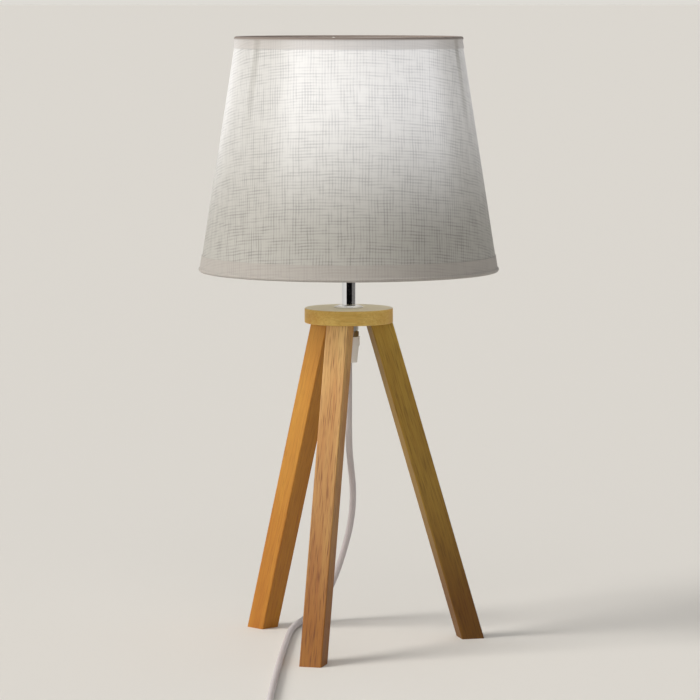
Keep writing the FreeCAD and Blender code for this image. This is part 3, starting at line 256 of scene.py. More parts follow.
LEAD_TO_SWITCH = [
    (0.0, 0.0, GRIP_END),
    (0.0, 0.0, 209.0),
    (0.0, 14.0, 187.0),
    (0.0, 38.0, 167.5),
    (0.6, 62.0, 144.0),
    (4.0, 77.0, 114.5),
    (2.2, 87.0, 86.5),
    (-4.2, 94.5, 60.0),
    (-12.0, 99.0, 36.0),
    (-22.0, 99.0, 15.5),
    (-35.5, 88.5, 4.5),
    (-44.0, 67.0, FLOOR_LINE),
    (-48.2, 38.0, FLOOR_LINE),
    (-50.8, -14.0, FLOOR_LINE),
    (-53.4, -78.0, FLOOR_LINE),
    (-55.6, -142.0, FLOOR_LINE),
    (-57.3, -206.0, FLOOR_LINE),
    (-58.4, -252.0, FLOOR_LINE),
    (-58.2, -286.0, FLOOR_LINE),
    (-49.0, -312.0, FLOOR_LINE),
    (-30.0, -326.5, 4.2),
    (-17.0, SWITCH_Y, SWITCH_AXIS),
    (SWITCH_START, SWITCH_Y, SWITCH_AXIS),
]

# %% Route through the coil
# Half circles whose ends lie on one line: five spiral in on the lower layer, one climbs,
# and five spiral out again on the upper layer. A spline of this order cuts inside its
# control points, so they stand out from the circle by the share that it cuts off.
COIL_X = 84.0
COIL_HEIGHT = 3.35
COIL_LAYER_STEP = 6.0
COIL_OUTER = 38.0
COIL_STEP = 3.0
HALF_TURNS_IN = 5
POINTS_IN_HALF_TURN = 8
TAIL_START = COIL_X - 5.4
PLUG_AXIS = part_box("plug_body")[1].z / MM / 2
TAIL_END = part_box("plug_body")[1].x / MM


def coil_points():
    """Control points along the coil, in mm, and the place where it ends."""
    spiral_in = [COIL_OUTER - COIL_STEP * number for number in range(HALF_TURNS_IN)]
    radii = spiral_in + [spiral_in[-1] - COIL_STEP] + spiral_in[::-1]
    bulge = 2 / (1 + math.cos(math.pi / POINTS_IN_HALF_TURN))
    points = []
    y = SWITCH_Y
    height = COIL_HEIGHT
    for number, radius in enumerate(radii):
        side = 1 if number % 2 == 0 else -1
        climb = COIL_LAYER_STEP if number == HALF_TURNS_IN else 0.0
        middle = y - side * radius
        for step in range(POINTS_IN_HALF_TURN):
            angle = math.pi * (step + 0.5) / POINTS_IN_HALF_TURN
            points.append(
                (
                    COIL_X + side * radius * bulge * math.sin(angle),
                    middle + side * radius * bulge * math.cos(angle),
                    height + climb * (1 - math.cos(angle)) / 2,
                )
            )
        y -= side * 2 * radius
        height += climb
    return points, y, height


coil_route, coil_end_y, coil_end_height = coil_points()
LEAD_TO_PLUG = (
    [
        (SWITCH_END, SWITCH_Y, SWITCH_AXIS),
        (SWITCH_END + 8.0, SWITCH_Y, SWITCH_AXIS),
        (TAIL_START - 8.0, SWITCH_Y, COIL_HEIGHT),
        (TAIL_START, SWITCH_Y, COIL_HEIGHT),
    ]
    + coil_route
    + [
        (TAIL_START, coil_end_y, coil_end_height),
        (TAIL_START - 9.0, coil_end_y, coil_end_height),
        (TAIL_END + 9.0, coil_end_y, PLUG_AXIS),
        (TAIL_END, coil_end_y, PLUG_AXIS),
    ]
)

# %% Make the lead
# The curves take their material now, and its nodes come with the other plastics.
sheath = bpy.data.materials.new("white_pvc_sheath")


def lead(name, route):
    """A round lead along a NURBS spline with the route's points, in mm."""
    data = bpy.data.curves.new(name, "CURVE")
    data.dimensions = "3D"
    spline = data.splines.new("NURBS")
    spline.points.add(len(route) - 1)
    for point, place in zip(spline.points, route):
        point.co = (place[0] * MM, place[1] * MM, place[2] * MM, 1.0)
    spline.order_u = 3
    spline.use_endpoint_u = True
    spline.resolution_u = 6
    data.bevel_depth = LEAD_DIAMETER / 2
    data.bevel_resolution = 5
    data.use_fill_caps = True
    data.materials.append(sheath)
    length = spline.calc_length()
    print(f"{name}: {length / MM:.0f} mm long")
    return into_scene(name, data), length


lamp_lead, lamp_lead_length = lead("lamp_lead", LEAD_TO_SWITCH)
plug_lead, plug_lead_length = lead("plug_lead", LEAD_TO_PLUG)
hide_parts("cord_to_switch")
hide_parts("cord_to_coil", "cord_coil", "cord_to_plug")
for piece in (lamp_lead, plug_lead):
    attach(piece, "stand")

# %% [markdown]
# ## Shade cover
# The shade is a strip of linen bonded to a translucent plastic liner, bent into a cone and
# lapped at the back. A cone primitive would do for the shape, but its cloth would have no
# direction. Here a slanted profile is spun into a thin closed shell, and the shell gets a
# UV map that unrolls it flat again, as the maker cut it. The threads then run straight
# across the cloth and not round the cone, which is what the photograph shows.

# %% Helper for spun pieces
SPIN_STEPS = 192
SAME_PLACE = 0.004 * MM
SHARP_ANGLE = math.radians(40)


def spun(name, profile):
    """Spins a closed outline of (radius, height) points in mm about the lamp's axis."""
    mesh = bmesh.new()
    corners = [mesh.verts.new((radius * MM, 0.0, height * MM)) for radius, height in profile]
    edges = [mesh.edges.new((a, b)) for a, b in zip(corners, corners[1:] + corners[:1])]
    bmesh.ops.spin(
        mesh,
        geom=corners + edges,
        cent=(0, 0, 0),
        axis=(0, 0, 1),
        angle=2 * math.pi,
        steps=SPIN_STEPS,
        use_merge=True,
    )
    bmesh.ops.remove_doubles(mesh, verts=mesh.verts, dist=SAME_PLACE)
    bmesh.ops.recalc_face_normals(mesh, faces=mesh.faces)
    piece = mesh_object(name, mesh)
    piece.data.shade_smooth()
    piece.data.set_sharp_from_angle(angle=SHARP_ANGLE)
    print(f"{name}: {len(piece.data.polygons)} faces")
    return piece


# %% Spin the linen
shade_low, shade_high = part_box("shade_cover")
SHADE_LOW = shade_low.z / MM
SHADE_HIGH = shade_high.z / MM
SHADE_LOW_RADIUS = shade_high.x / MM
CONE_LOW_RADIUS = 119.4
CONE_HIGH_RADIUS = 90.0
CONE_HEIGHT = 187.5
CONE_SLOPE = (CONE_LOW_RADIUS - CONE_HIGH_RADIUS) / CONE_HEIGHT
SHADE_HIGH_RADIUS = SHADE_LOW_RADIUS - (SHADE_HIGH - SHADE_LOW) * CONE_SLOPE
LINEN = 0.7
ROWS = 16


def slant(share, inset=0.0):
    """A point on the shade's slanted line, in mm. The share runs from the lower edge up."""
    radius = SHADE_LOW_RADIUS + (SHADE_HIGH_RADIUS - SHADE_LOW_RADIUS) * share
    return (radius - inset, SHADE_LOW + (SHADE_HIGH - SHADE_LOW) * share)


outside = [slant(row / ROWS) for row in range(ROWS + 1)]
inside = [slant(row / ROWS, LINEN) for row in range(ROWS + 1)]
linen_cover = spun("linen_cover", outside + inside[::-1])

# %% Unroll the linen flat
CONE_SINE = CONE_SLOPE / math.hypot(1, CONE_SLOPE)


def unroll(piece):
    """A UV map in metres that lays a cone's cloth flat, with its cut at the back."""
    layer = piece.data.uv_layers.new(name="flat_cloth")
    for face in piece.data.polygons:
        middle = math.atan2(face.center.x, -face.center.y)
        for loop in face.loop_indices:
            place = piece.data.vertices[piece.data.loops[loop].vertex_index].co
            turn = math.atan2(place.x, -place.y)
            turn += 2 * math.pi * round((middle - turn) / (2 * math.pi))
            reach = math.hypot(place.x, place.y) / CONE_SINE
            layer.data[loop].uv = (
                reach * math.sin(turn * CONE_SINE),
                -reach * math.cos(turn * CONE_SINE),
            )


unroll(linen_cover)

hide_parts("shade_cover")
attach(linen_cover, "shade")

# %% [markdown]
# ## Light through the linen
# The bulb is lit in the photograph, so the linen glows: brightest level with the globe,
# weak near the lower edge, and dark along the three arms that cross the light. Letting a
# lamp shine through two skins needs many samples to come out clean. The glow is therefore
# drawn over the cone and given to the cloth as emission: full from the globe's middle up,
# since such a bulb throws its light upwards and sideways, and fading out below it. A real
# point lamp lights the inside of the shade and what stands under it.

# %% Glow over the shade
ARM_AZIMUTH = math.radians(68.2)
GLOW = 0.50
GLOW_FROM = 0.325
GLOW_FULL = 0.455
NEAR_ARM_LIGHT = 0.5
ARM_SHADOW = 0.6
ARM_SHADOW_EDGE = 0.984
ARM_SHADOW_FROM = 0.400
ARM_SHADOW_FULL = 0.485
LAP = 10.0 * MM
LAP_EDGE = 0.4 * MM
LAP_LIGHT = 0.45


def bulb_glow(tree, place):
    """How strongly the bulb's light reaches a place on the shade, 1 at the brightest."""
    parts = add_node(tree, "ShaderNodeSeparateXYZ", {0: place})
    height = add_node(
        tree,
        "ShaderNodeMapRange",
        {"Value": parts.outputs["Z"], "From Min": GLOW_FROM, "From Max": GLOW_FULL},
        interpolation_type="SMOOTHSTEP",
    )
    # Three arms, so the pattern round the axis repeats every third of a turn.
    backwards = add_node(
        tree,
        "ShaderNodeMath",
        {0: parts.outputs["Y"], 1: -1.0},
        operation="MULTIPLY",
    )
    azimuth = add_node(
        tree,
        "ShaderNodeMath",
        {0: parts.outputs["X"], 1: backwards.outputs[0]},
        operation="ARCTAN2",
    )
    from_arm = add_node(
        tree,
        "ShaderNodeMath",
        {0: azimuth.outputs[0], 1: ARM_AZIMUTH},
        operation="SUBTRACT",
    )
    thrice = add_node(
        tree,
        "ShaderNodeMath",
        {0: from_arm.outputs[0], 1: 3.0},
        operation="MULTIPLY",
    )
    wave = add_node(tree, "ShaderNodeMath", {0: thrice.outputs[0]}, operation="COSINE")
    lobes = add_node(
        tree,
        "ShaderNodeMapRange",
        {
            "Value": wave.outputs[0],
            "From Min": 0.1,
            "From Max": 1.0,
            "To Min": 1.0,
            "To Max": NEAR_ARM_LIGHT,
        },
        interpolation_type="SMOOTHSTEP",
    )
    line = add_node(
        tree,
        "ShaderNodeMapRange",
        {"Value": wave.outputs[0], "From Min": ARM_SHADOW_EDGE, "From Max": 1.0},
        interpolation_type="SMOOTHSTEP",
    )
    upper = add_node(
        tree,
        "ShaderNodeMapRange",
        {
            "Value": parts.outputs["Z"],
            "From Min": ARM_SHADOW_FROM,
            "From Max": ARM_SHADOW_FULL,
            "To Max": ARM_SHADOW,
        },
    )
    shadow = add_node(
        tree,
        "ShaderNodeMath",
        {0: line.outputs[0], 1: upper.outputs[0]},
        operation="MULTIPLY",
    )
    clear = add_node(
        tree,
        "ShaderNodeMath",
        {0: 1.0, 1: shadow.outputs[0]},
        operation="SUBTRACT",
    )
    spread = add_node(
        tree,
        "ShaderNodeMath",
        {0: height.outputs[0], 1: lobes.outputs[0]},
        operation="MULTIPLY",
    )
    glow = add_node(
        tree,
        "ShaderNodeMath",
        {0: spread.outputs[0], 1: clear.outputs[0]},
        operation="MULTIPLY",
    )
    # Two layers of cloth overlap in the lap at the back, and less light gets through.
    beside = add_node(tree, "ShaderNodeMath", {0: parts.outputs["X"]}, operation="ABSOLUTE")
    lap = add_node(
        tree,
        "ShaderNodeMapRange",
        {
            "Value": beside.outputs[0],
            "From Min": LAP / 2,
            "From Max": LAP / 2 + LAP_EDGE,
            "To Min": LAP_LIGHT,
        },
    )
    in_front = add_node(
        tree,
        "ShaderNodeMath",
        {0: parts.outputs["Y"], 1: 0.0},
        operation="LESS_THAN",
    )
    layers = add_node(
        tree,
        "ShaderNodeMath",
        {0: lap.outputs[0], 1: in_front.outputs[0]},
        operation="MAXIMUM",
    )
    through = add_node(
        tree,
        "ShaderNodeMath",
        {0: glow.outputs[0], 1: layers.outputs[0]},
        operation="MULTIPLY",
    )
    return through.outputs[0]


# %% [markdown]
# ## Linen
# Linen is spun from long uneven fibres, so its threads swell and thin out into slubs. That
# makes ladders of short dark lines, a centimetre or two long, along both directions of
# the weave. A cosine across the cloth draws evenly spaced threads, a slow noise makes
# them wander, and a stretched noise lets each thread swell and vanish. The threads alone
# would look like wire mesh, and the noise alone like clouds. The cloth has no gloss, and
# its finest threads only roughen the surface.

# %% Threads of the weave
# The real threads are about 0.8 mm apart, too fine to show, so every third one is drawn.
THREAD_PITCH = 2.4
WANDER = 30.0
SLUB_LENGTH = 22.0
SLUB_WIDTH = 4.5
FINE_THREAD = 0.6
WANDER_PHASE = 5.0
THREAD_FROM = -0.6
SLUB_FROM = 0.36
SLUB_FULL = 0.70
SLUB_LEAST = 0.10


def weave(tree, cloth):
    """Dark threads across and along the cloth, each from 0 to 1 at its darkest."""
    parts = add_node(tree, "ShaderNodeSeparateXYZ", {0: cloth})
    drift = add_node(
        tree,
        "ShaderNodeTexNoise",
        {"Vector": cloth, "Scale": 1 / (WANDER * MM), "Detail": 1.0},
        noise_dimensions="2D",
    )
    directions = (("Y", SLUB_LENGTH, SLUB_WIDTH), ("X", SLUB_WIDTH, SLUB_LENGTH))
    patterns = []
    for axis, across, along in directions:
        turns = add_node(
            tree,
            "ShaderNodeMath",
            {0: parts.outputs[axis], 1: 2 * math.pi / (THREAD_PITCH * MM)},
            operation="MULTIPLY",
        )
        wandering = add_node(
            tree,
            "ShaderNodeMath",
            {0: drift.outputs["Fac"], 1: WANDER_PHASE, 2: turns.outputs[0]},
            operation="MULTIPLY_ADD",
        )
        wave = add_node(tree, "ShaderNodeMath", {0: wandering.outputs[0]}, operation="COSINE")
        thread = add_node(
            tree,
            "ShaderNodeMapRange",
            {"Value": wave.outputs[0], "From Min": THREAD_FROM, "From Max": 1.0},
        )
        scaled = add_node(
            tree,
            "ShaderNodeVectorMath",
            {0: cloth, 1: (1 / (across * MM), 1 / (along * MM), 1.0)},
            operation="MULTIPLY",
        )
        slub = add_node(
            tree,
            "ShaderNodeTexNoise",
            {"Vector": scaled.outputs[0], "Scale": 1.0, "Detail": 2.0},
            noise_dimensions="2D",
        )
        swell = add_node(
            tree,
            "ShaderNodeMapRange",
            {
                "Value": slub.outputs["Fac"],
                "From Min": SLUB_FROM,
                "From Max": SLUB_FULL,
                "To Min": SLUB_LEAST,
            },
        )
        dark = add_node(
            tree,
            "ShaderNodeMath",
            {0: thread.outputs[0], 1: swell.outputs[0]},
            operation="MULTIPLY",
        )
        patterns.append(dark.outputs[0])
    return patterns


# %% Linen material
LINEN_COLOUR = "#B0AEA8"
LINEN_DARK = "#8E8C88"
DENSEST = 1.3


def cloth_finish(name, colour, dark, glow_level, slub_share, coordinates):
    """A woven cloth with slubs in its colour, its glow and its relief."""
    cloth, tree, shader = new_material(name)
    places = add_node(tree, "ShaderNodeTexCoord")
    across, along = weave(tree, places.outputs[coordinates])
    both = add_node(tree, "ShaderNodeMath", {0: across, 1: along}, operation="ADD")
    shade = add_node(
        tree,
        "ShaderNodeMapRange",
        {"Value": both.outputs[0], "From Min": DENSEST, "From Max": 0.0},
    )
    tone = add_node(
        tree,
        "ShaderNodeMix",
        {0: shade.outputs[0], 6: linear(dark), 7: linear(colour)},
        data_type="RGBA",
    )
    tree.links.new(tone.outputs[2], shader.inputs["Base Color"])
    glow = bulb_glow(tree, places.outputs["Object"])
    thread_light = add_node(
        tree,
        "ShaderNodeMapRange",
        {
            "Value": both.outputs[0],
            "From Min": DENSEST,
            "From Max": 0.0,
            "To Min": glow_level * (1 - slub_share),
            "To Max": glow_level,
        },
    )
    strength = add_node(
        tree,
        "ShaderNodeMath",
        {0: glow, 1: thread_light.outputs[0]},
        operation="MULTIPLY",
    )
    shader.inputs["Emission Color"].default_value = linear("#FBFBFF")
    tree.links.new(strength.outputs[0], shader.inputs["Emission Strength"])
    fine = add_node(
        tree,
        "ShaderNodeTexNoise",
        {"Vector": places.outputs["Object"], "Scale": 1 / (FINE_THREAD * MM), "Detail": 1.0},
    )
    relief = add_node(
        tree,
        "ShaderNodeMath",
        {0: fine.outputs["Fac"], 1: both.outputs[0]},
        operation="SUBTRACT",
    )
    bump = add_node(
        tree,
        "ShaderNodeBump",
        {"Strength": 0.3, "Distance": 0.1 * MM, "Height": relief.outputs[0]},
    )
    tree.links.new(bump.outputs[0], shader.inputs["Normal"])
    shader.inputs["Roughness"].default_value = 0.9
    shader.inputs["Specular IOR Level"].default_value = 0.25
    shader.inputs["Sheen Weight"].default_value = 0.15
    return cloth


linen = cloth_finish("undyed_linen", LINEN_COLOUR, LINEN_DARK, GLOW, 0.16, "UV")
linen_cover.data.materials.append(linen)
linen_tape = cloth_finish("linen_tape", "#ABA6A0", "#A09B96", GLOW * 0.6, 0.03, "UV")


def dress(material, *nodes):
    """Gives a material to every slot of the CAD nodes named."""
    for node in nodes:
        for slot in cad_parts[node].material_slots:
            slot.material = material


# %% [markdown]
# ## Hems
# A steel ring keeps each edge of the shade round. A linen tape is glued over it: up the
# outside, round the wire and down the inside, so the edge ends in a bead a little thicker
# than the cloth. The tape's cross-section is drawn as one closed outline and spun, as
# the cover was. Where the tape runs over the wire no light gets through, so it gets no
# glow there, and its colour is darkened there as painted shade, so the top bead shows
# as a dark line.

# %% Spin the tapes
TAPE = 0.45
BEAD = 1.85
TAPE_FACE = 0.5
TAPE_BACK = -1.75
ARC_FROM = -40
ARC_TO = 220
ARC_STEP = 20
ARC_DEPTH = 1.4


def along_cloth(offset, *heights):
    """Points at the heights given, in mm, at an offset from the linen's outside."""
    return [
        (SHADE_HIGH_RADIUS + (SHADE_HIGH - height) * CONE_SLOPE + offset, height)
        for height in heights
    ]


def tape(name, ring, outer_end, inner_end, up):
    """A tape over a wire ring. Up is 1 where it goes over the ring and -1 where under."""
    low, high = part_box(ring)
    ring_height = (low.z + high.z) / 2 / MM
    ring_radius = (high.x - (high.z - low.z) / 2) / MM
    joint = ring_height - up * ARC_DEPTH

    def arc(radius, angles):
        """Points round the wire, from its outside over its crest to its inside."""
        turns = [math.radians(angle) for angle in angles]
        return [
            (ring_radius + radius * math.cos(turn), ring_height + up * radius * math.sin(turn))
            for turn in turns
        ]

    angles = list(range(ARC_FROM, ARC_TO + 1, ARC_STEP))
    outline = along_cloth(TAPE_FACE, outer_end, joint)
    outline += arc(BEAD, angles)
    outline += along_cloth(TAPE_BACK, joint, inner_end)
    outline += along_cloth(TAPE_BACK + TAPE, inner_end, joint)
    outline += arc(BEAD - TAPE, angles[::-1])
    outline += along_cloth(TAPE_FACE - TAPE, joint, outer_end)
    piece = spun(name, outline)
    unroll(piece)
    piece.data.materials.append(linen_tape)
    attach(piece, "shade")
    return piece


top_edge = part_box("top_hem")[1].z / MM
bottom_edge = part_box("bottom_hem")[0].z / MM
top_tape = tape("top_tape", "top_ring", top_edge - 9.4, top_edge - 7.0, up=1)
bottom_tape = tape("bottom_tape", "bottom_ring", bottom_edge + 13.0, bottom_edge + 7.0, up=-1)
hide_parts("top_hem")
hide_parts("bottom_hem")

# %% Darken the tape over the top wire with painted shade
WIRE_FROM = top_edge - 2.6
WIRE_FULL = top_edge - 1.2
BEAD_PAINTED_SHADE = "#82766F"
tree = linen_tape.node_tree
shader = tree.nodes["Principled BSDF"]
cloth_tone = shader.inputs["Base Color"].links[0].from_socket
cloth_light = shader.inputs["Emission Strength"].links[0].from_socket
places = add_node(tree, "ShaderNodeTexCoord")
parts = add_node(tree, "ShaderNodeSeparateXYZ", {0: places.outputs["Object"]})
over_wire = add_node(
    tree,
    "ShaderNodeMapRange",
    {"Value": parts.outputs["Z"], "From Min": WIRE_FROM * MM, "From Max": WIRE_FULL * MM},
)
# Painted shade: over the wire the tape's colour turns darker, where no glow comes through.
bead_painted_shade = add_node(
    tree,
    "ShaderNodeMix",
    {0: over_wire.outputs[0], 6: cloth_tone, 7: linear(BEAD_PAINTED_SHADE)},
    data_type="RGBA",
)
tree.links.new(bead_painted_shade.outputs[2], shader.inputs["Base Color"])
open_cloth = add_node(
    tree,
    "ShaderNodeMath",
    {0: 1.0, 1: over_wire.outputs[0]},
    operation="SUBTRACT",
)
tape_light = add_node(
    tree,
    "ShaderNodeMath",
    {0: cloth_light, 1: open_cloth.outputs[0]},
    operation="MULTIPLY",
)
tree.links.new(tape_light.outputs[0], shader.inputs["Emission Strength"])

# %% [markdown]
# ## Liner
# The inside of a linen shade is a matt white styrene sheet. It scatters the bulb's light
# and keeps the cloth stiff. It carries the same glow as the cloth, so the shade also
# looks lit from above and below, and its glow lights the plate softly from overhead.

# %% Liner material
LINER_GLOW = 0.35
liner, tree, shader = new_material("styrene_liner")
shader.inputs["Base Color"].default_value = linear("#E9E7E2")
shader.inputs["Roughness"].default_value = 0.55
places = add_node(tree, "ShaderNodeTexCoord")
liner_glow = bulb_glow(tree, places.outputs["Object"])
liner_strength = add_node(
    tree,
    "ShaderNodeMath",
    {0: liner_glow, 1: LINER_GLOW},
    operation="MULTIPLY",
)
shader.inputs["Emission Color"].default_value = linear("#FFFDF8")
tree.links.new(liner_strength.outputs[0], shader.inputs["Emission Strength"])
dress(liner, "shade_liner")

# %% [markdown]
# ## Wood
# Legs and plate look like oiled rubberwood: straight grain along the leg, a soft change of
# tone from one board to the next, and short dark pores that lie along the grain. Each leg
# gets its own tone, partly because each was sawn from another strip and partly as painted
# light and shade, since the legs face the light differently. The pattern is solid, in the
# piece's own coordinates, so the grain runs through the edges from face to face as it
# does in real timber. A Mapping node turns it so that its long direction is the leg's.

# %% Wood material
PORE_WIDTH = 0.75
PORE_LENGTH = 16.0
GRAIN_WIDTH = 1.7
GRAIN_LENGTH = 90.0
BOARD_WIDTH = 22.0
BOARD_LENGTH = 120.0
PAINTED_SHADE_FROM = 0.255
PAINTED_SHADE_TO = 0.03
PAINTED_LIGHT_SHARE = 0.8


def oiled_wood(name, pale, warm, pore, grain_turn, pore_share, foot_painted_shade=(1, 1, 1), top=None):
    """Straight-grained wood. The turn brings the grain's direction onto the pattern's Z.

    The foot's painted shade is the share of each colour that is left at the floor: the
    wood is painted darker towards the floor, standing in for the lamp's light that falls on
    the legs' upper ends. A top colour is painted light, paler on a face that looks up into
    the lit shade.
    """
    wood, tree, shader = new_material(name)
    places = add_node(tree, "ShaderNodeTexCoord")
    along = add_node(
        tree,
        "ShaderNodeMapping",
        {"Vector": places.outputs["Object"], "Rotation": grain_turn},
    )

    def streaks(width, length, detail, low, high):
        """Noise stretched along the grain, from 0 to 1."""
        stretched = add_node(
            tree,
            "ShaderNodeVectorMath",
            {0: along.outputs[0], 1: (1 / (width * MM), 1 / (width * MM), 1 / (length * MM))},
            operation="MULTIPLY",
        )
        noise = add_node(
            tree,
            "ShaderNodeTexNoise",
            {"Vector": stretched.outputs[0], "Scale": 1.0, "Detail": detail, "Roughness": 0.6},
        )
        level = add_node(
            tree,
            "ShaderNodeMapRange",
            {"Value": noise.outputs["Fac"], "From Min": low, "From Max": high},
        )
        return level.outputs[0]

    board = streaks(BOARD_WIDTH, BOARD_LENGTH, 1.0, 0.35, 0.65)
    grain = streaks(GRAIN_WIDTH, GRAIN_LENGTH, 3.0, 0.3, 0.7)
    pores = streaks(PORE_WIDTH, PORE_LENGTH, 1.0, 0.50, 0.72)
    tone = add_node(tree, "ShaderNodeMath", {0: board, 1: grain}, operation="ADD")
    half = add_node(tree, "ShaderNodeMath", {0: tone.outputs[0], 1: 0.5}, operation="MULTIPLY")
    body = add_node(
        tree,
        "ShaderNodeMix",
        {0: half.outputs[0], 6: linear(warm), 7: linear(pale)},
        data_type="RGBA",
    )
    dark = add_node(tree, "ShaderNodeMath", {0: pores, 1: pore_share}, operation="MULTIPLY")
    pored = add_node(
        tree,
        "ShaderNodeMix",
        {0: dark.outputs[0], 6: body.outputs[2], 7: linear(pore)},
        data_type="RGBA",
    )
    # Painted shade: the wood turns darker towards the floor, for the lamp's light on the legs'
    # upper ends.
    height = add_node(tree, "ShaderNodeSeparateXYZ", {0: places.outputs["Object"]})
    down = add_node(
        tree,
        "ShaderNodeMapRange",
        {"Value": height.outputs["Z"], "From Min": PAINTED_SHADE_FROM, "From Max": PAINTED_SHADE_TO},
    )
    colour = add_node(
        tree,
        "ShaderNodeMix",
        {0: down.outputs[0], 6: pored.outputs[2], 7: (*foot_painted_shade, 1.0)},
        data_type="RGBA",
        blend_type="MULTIPLY",
    )
    tree.links.new(colour.outputs[2], shader.inputs["Base Color"])
    # Painted light: a face that looks up into the lit shade is coloured paler.
    if top:
        surface = add_node(tree, "ShaderNodeNewGeometry")
        facing = add_node(tree, "ShaderNodeSeparateXYZ", {0: surface.outputs["Normal"]})
        upward = add_node(
            tree,
            "ShaderNodeMapRange",
            {
                "Value": facing.outputs["Z"],
                "From Min": 0.5,
                "From Max": 0.95,
                "To Max": PAINTED_LIGHT_SHARE,
            },
        )
        painted_top_light = add_node(
            tree,
            "ShaderNodeMix",
            {0: upward.outputs[0], 6: colour.outputs[2], 7: linear(top)},
            data_type="RGBA",
        )
        tree.links.new(painted_top_light.outputs[2], shader.inputs["Base Color"])
    gloss = add_node(
        tree,
        "ShaderNodeMapRange",
        {"Value": grain, "To Min": 0.48, "To Max": 0.62},
    )
    tree.links.new(gloss.outputs[0], shader.inputs["Roughness"])
    hollow = add_node(tree, "ShaderNodeMath", {0: grain, 1: pores}, operation="SUBTRACT")
    bump = add_node(
        tree,
        "ShaderNodeBump",
        {"Strength": 0.25, "Distance": 0.12 * MM, "Height": hollow.outputs[0]},
    )
    tree.links.new(bump.outputs[0], shader.inputs["Normal"])
    shader.inputs["Specular IOR Level"].default_value = 0.35
    return wood


# %% Turn the grain along each leg
FOOT_REACH = 102.5
HIP_REACH = 25.0
LEG_LEAN_RUN = FOOT_REACH - HIP_REACH
LEG_LEAN_RISE = 260.5


def along_leg(azimuth):
    """The rotation that brings a leg's axis onto Z, for a Mapping node."""
    turn = math.radians(azimuth)
    outward = Vector((math.sin(turn), -math.cos(turn), 0.0))
    axis = (outward * -LEG_LEAN_RUN + Vector((0, 0, LEG_LEAN_RISE))).normalized()
    sideways = axis.cross(outward).normalized()
    facing = sideways.cross(axis)
    return Matrix((sideways, facing, axis)).to_euler("XYZ")


front_wood = oiled_wood(
    "oiled_wood_front_leg",
    pale="#DAB879",
    warm="#BF874E",
    pore="#7E4A27",
    grain_turn=along_leg(-15.7),
    pore_share=0.7,
    foot_painted_shade=(0.45, 0.27, 0.09),
)
right_wood = oiled_wood(
    "oiled_wood_right_leg",
    pale="#C4A548",
    warm="#A27C2B",
    pore="#63431A",
    grain_turn=along_leg(104.3),
    pore_share=0.45,
    foot_painted_shade=(0.32, 0.20, 0.08),
)
left_wood = oiled_wood(
    "oiled_wood_left_leg",
    pale="#C6923D",
    warm="#B1752A",
    pore="#84501B",
    grain_turn=along_leg(224.3),
    pore_share=0.4,
    foot_painted_shade=(0.82, 0.70, 0.44),
)
# The plate's top colour is painted light, paler where it faces up into the lit shade.
plate_wood = oiled_wood(
    "oiled_wood_plate",
    pale="#DDBE6A",
    warm="#C08A34",
    pore="#9A7A38",
    grain_turn=(0.0, math.pi / 2, 0.0),
    pore_share=0.3,
    top="#DAD8C6",
)
dress(front_wood, "leg_front")
dress(right_wood, "leg_right")
dress(left_wood, "leg_left")
dress(plate_wood, "leg_plate")

# %% [markdown]
# ## Metal
# The stem and its rosette are chrome plate, a mirror that shows the room and the flags.
# Fasteners are zinc plated, duller, with a fine drawn grain. The screw shell and the
# lampholder's contacts are bare brass, and the bulb's cap and the plug's pins are nickel
# plated. All are metals of the same shader, with a little noise in the roughness for
# handling marks.

# %% Metal materials


def metal(name, colour, rough, mark_size, mark_share):
    """A metal finish. Marks of the given size in mm change its roughness by their share."""
    finish, tree, shader = new_material(name)
    shader.inputs["Base Color"].default_value = linear(colour)
    shader.inputs["Metallic"].default_value = 1.0
    places = add_node(tree, "ShaderNodeTexCoord")
    marks = add_node(
        tree,
        "ShaderNodeTexNoise",
        {"Vector": places.outputs["Object"], "Scale": 1 / (mark_size * MM), "Detail": 3.0},
    )
    roughness = add_node(
        tree,
        "ShaderNodeMapRange",
        {
            "Value": marks.outputs["Fac"],
            "To Min": rough * (1 - mark_share),
            "To Max": rough * (1 + mark_share),
        },
    )
    tree.links.new(roughness.outputs[0], shader.inputs["Roughness"])
    return finish


chrome = metal("chrome_plate", "#E6E8EC", 0.07, 6.0, 0.5)
zinc = metal("zinc_plated_steel", "#C3C5C6", 0.34, 1.2, 0.3)
brass = metal("drawn_brass", "#D2AE5E", 0.28, 2.0, 0.3)
nickel = metal("nickel_plated_cap", "#CFCDC8", 0.22, 3.0, 0.3)
tungsten = metal("filament_strip", "#D8B25A", 0.45, 1.0, 0.2)
dress(chrome, "stem_tube", "stem_rosette")
dress(zinc, "stem_washer", "stem_nuts", "grip_screw", "leg_bolts", "top_ring", "bottom_ring")
dress(zinc, "switch_screws", "terminal_screws")
dress(brass, "leg_inserts", "socket_shell", "centre_contact")
dress(brass, "holder_terminals", "switch_terminals")
dress(nickel, "bulb_cap", "bulb_contact", "plug_pins")
dress(tungsten, "bulb_filaments")

# %% [markdown]
# ## Plastic, enamel, ceramic and glass
# Switch, plug, lampholder and cord grip are moulded in white plastic with a satin spark
# finish. The lead's sheath is PVC, softer and a little greyer. The arms are enamelled
# wire. The globe is opal glass, and the mount inside it is clear. One helper makes them
# all, since each is a colour, a gloss and a fine grit in the surface, and only these
# differ.

# %% Moulded and coated materials
CLOUD_SIZE = 14.0


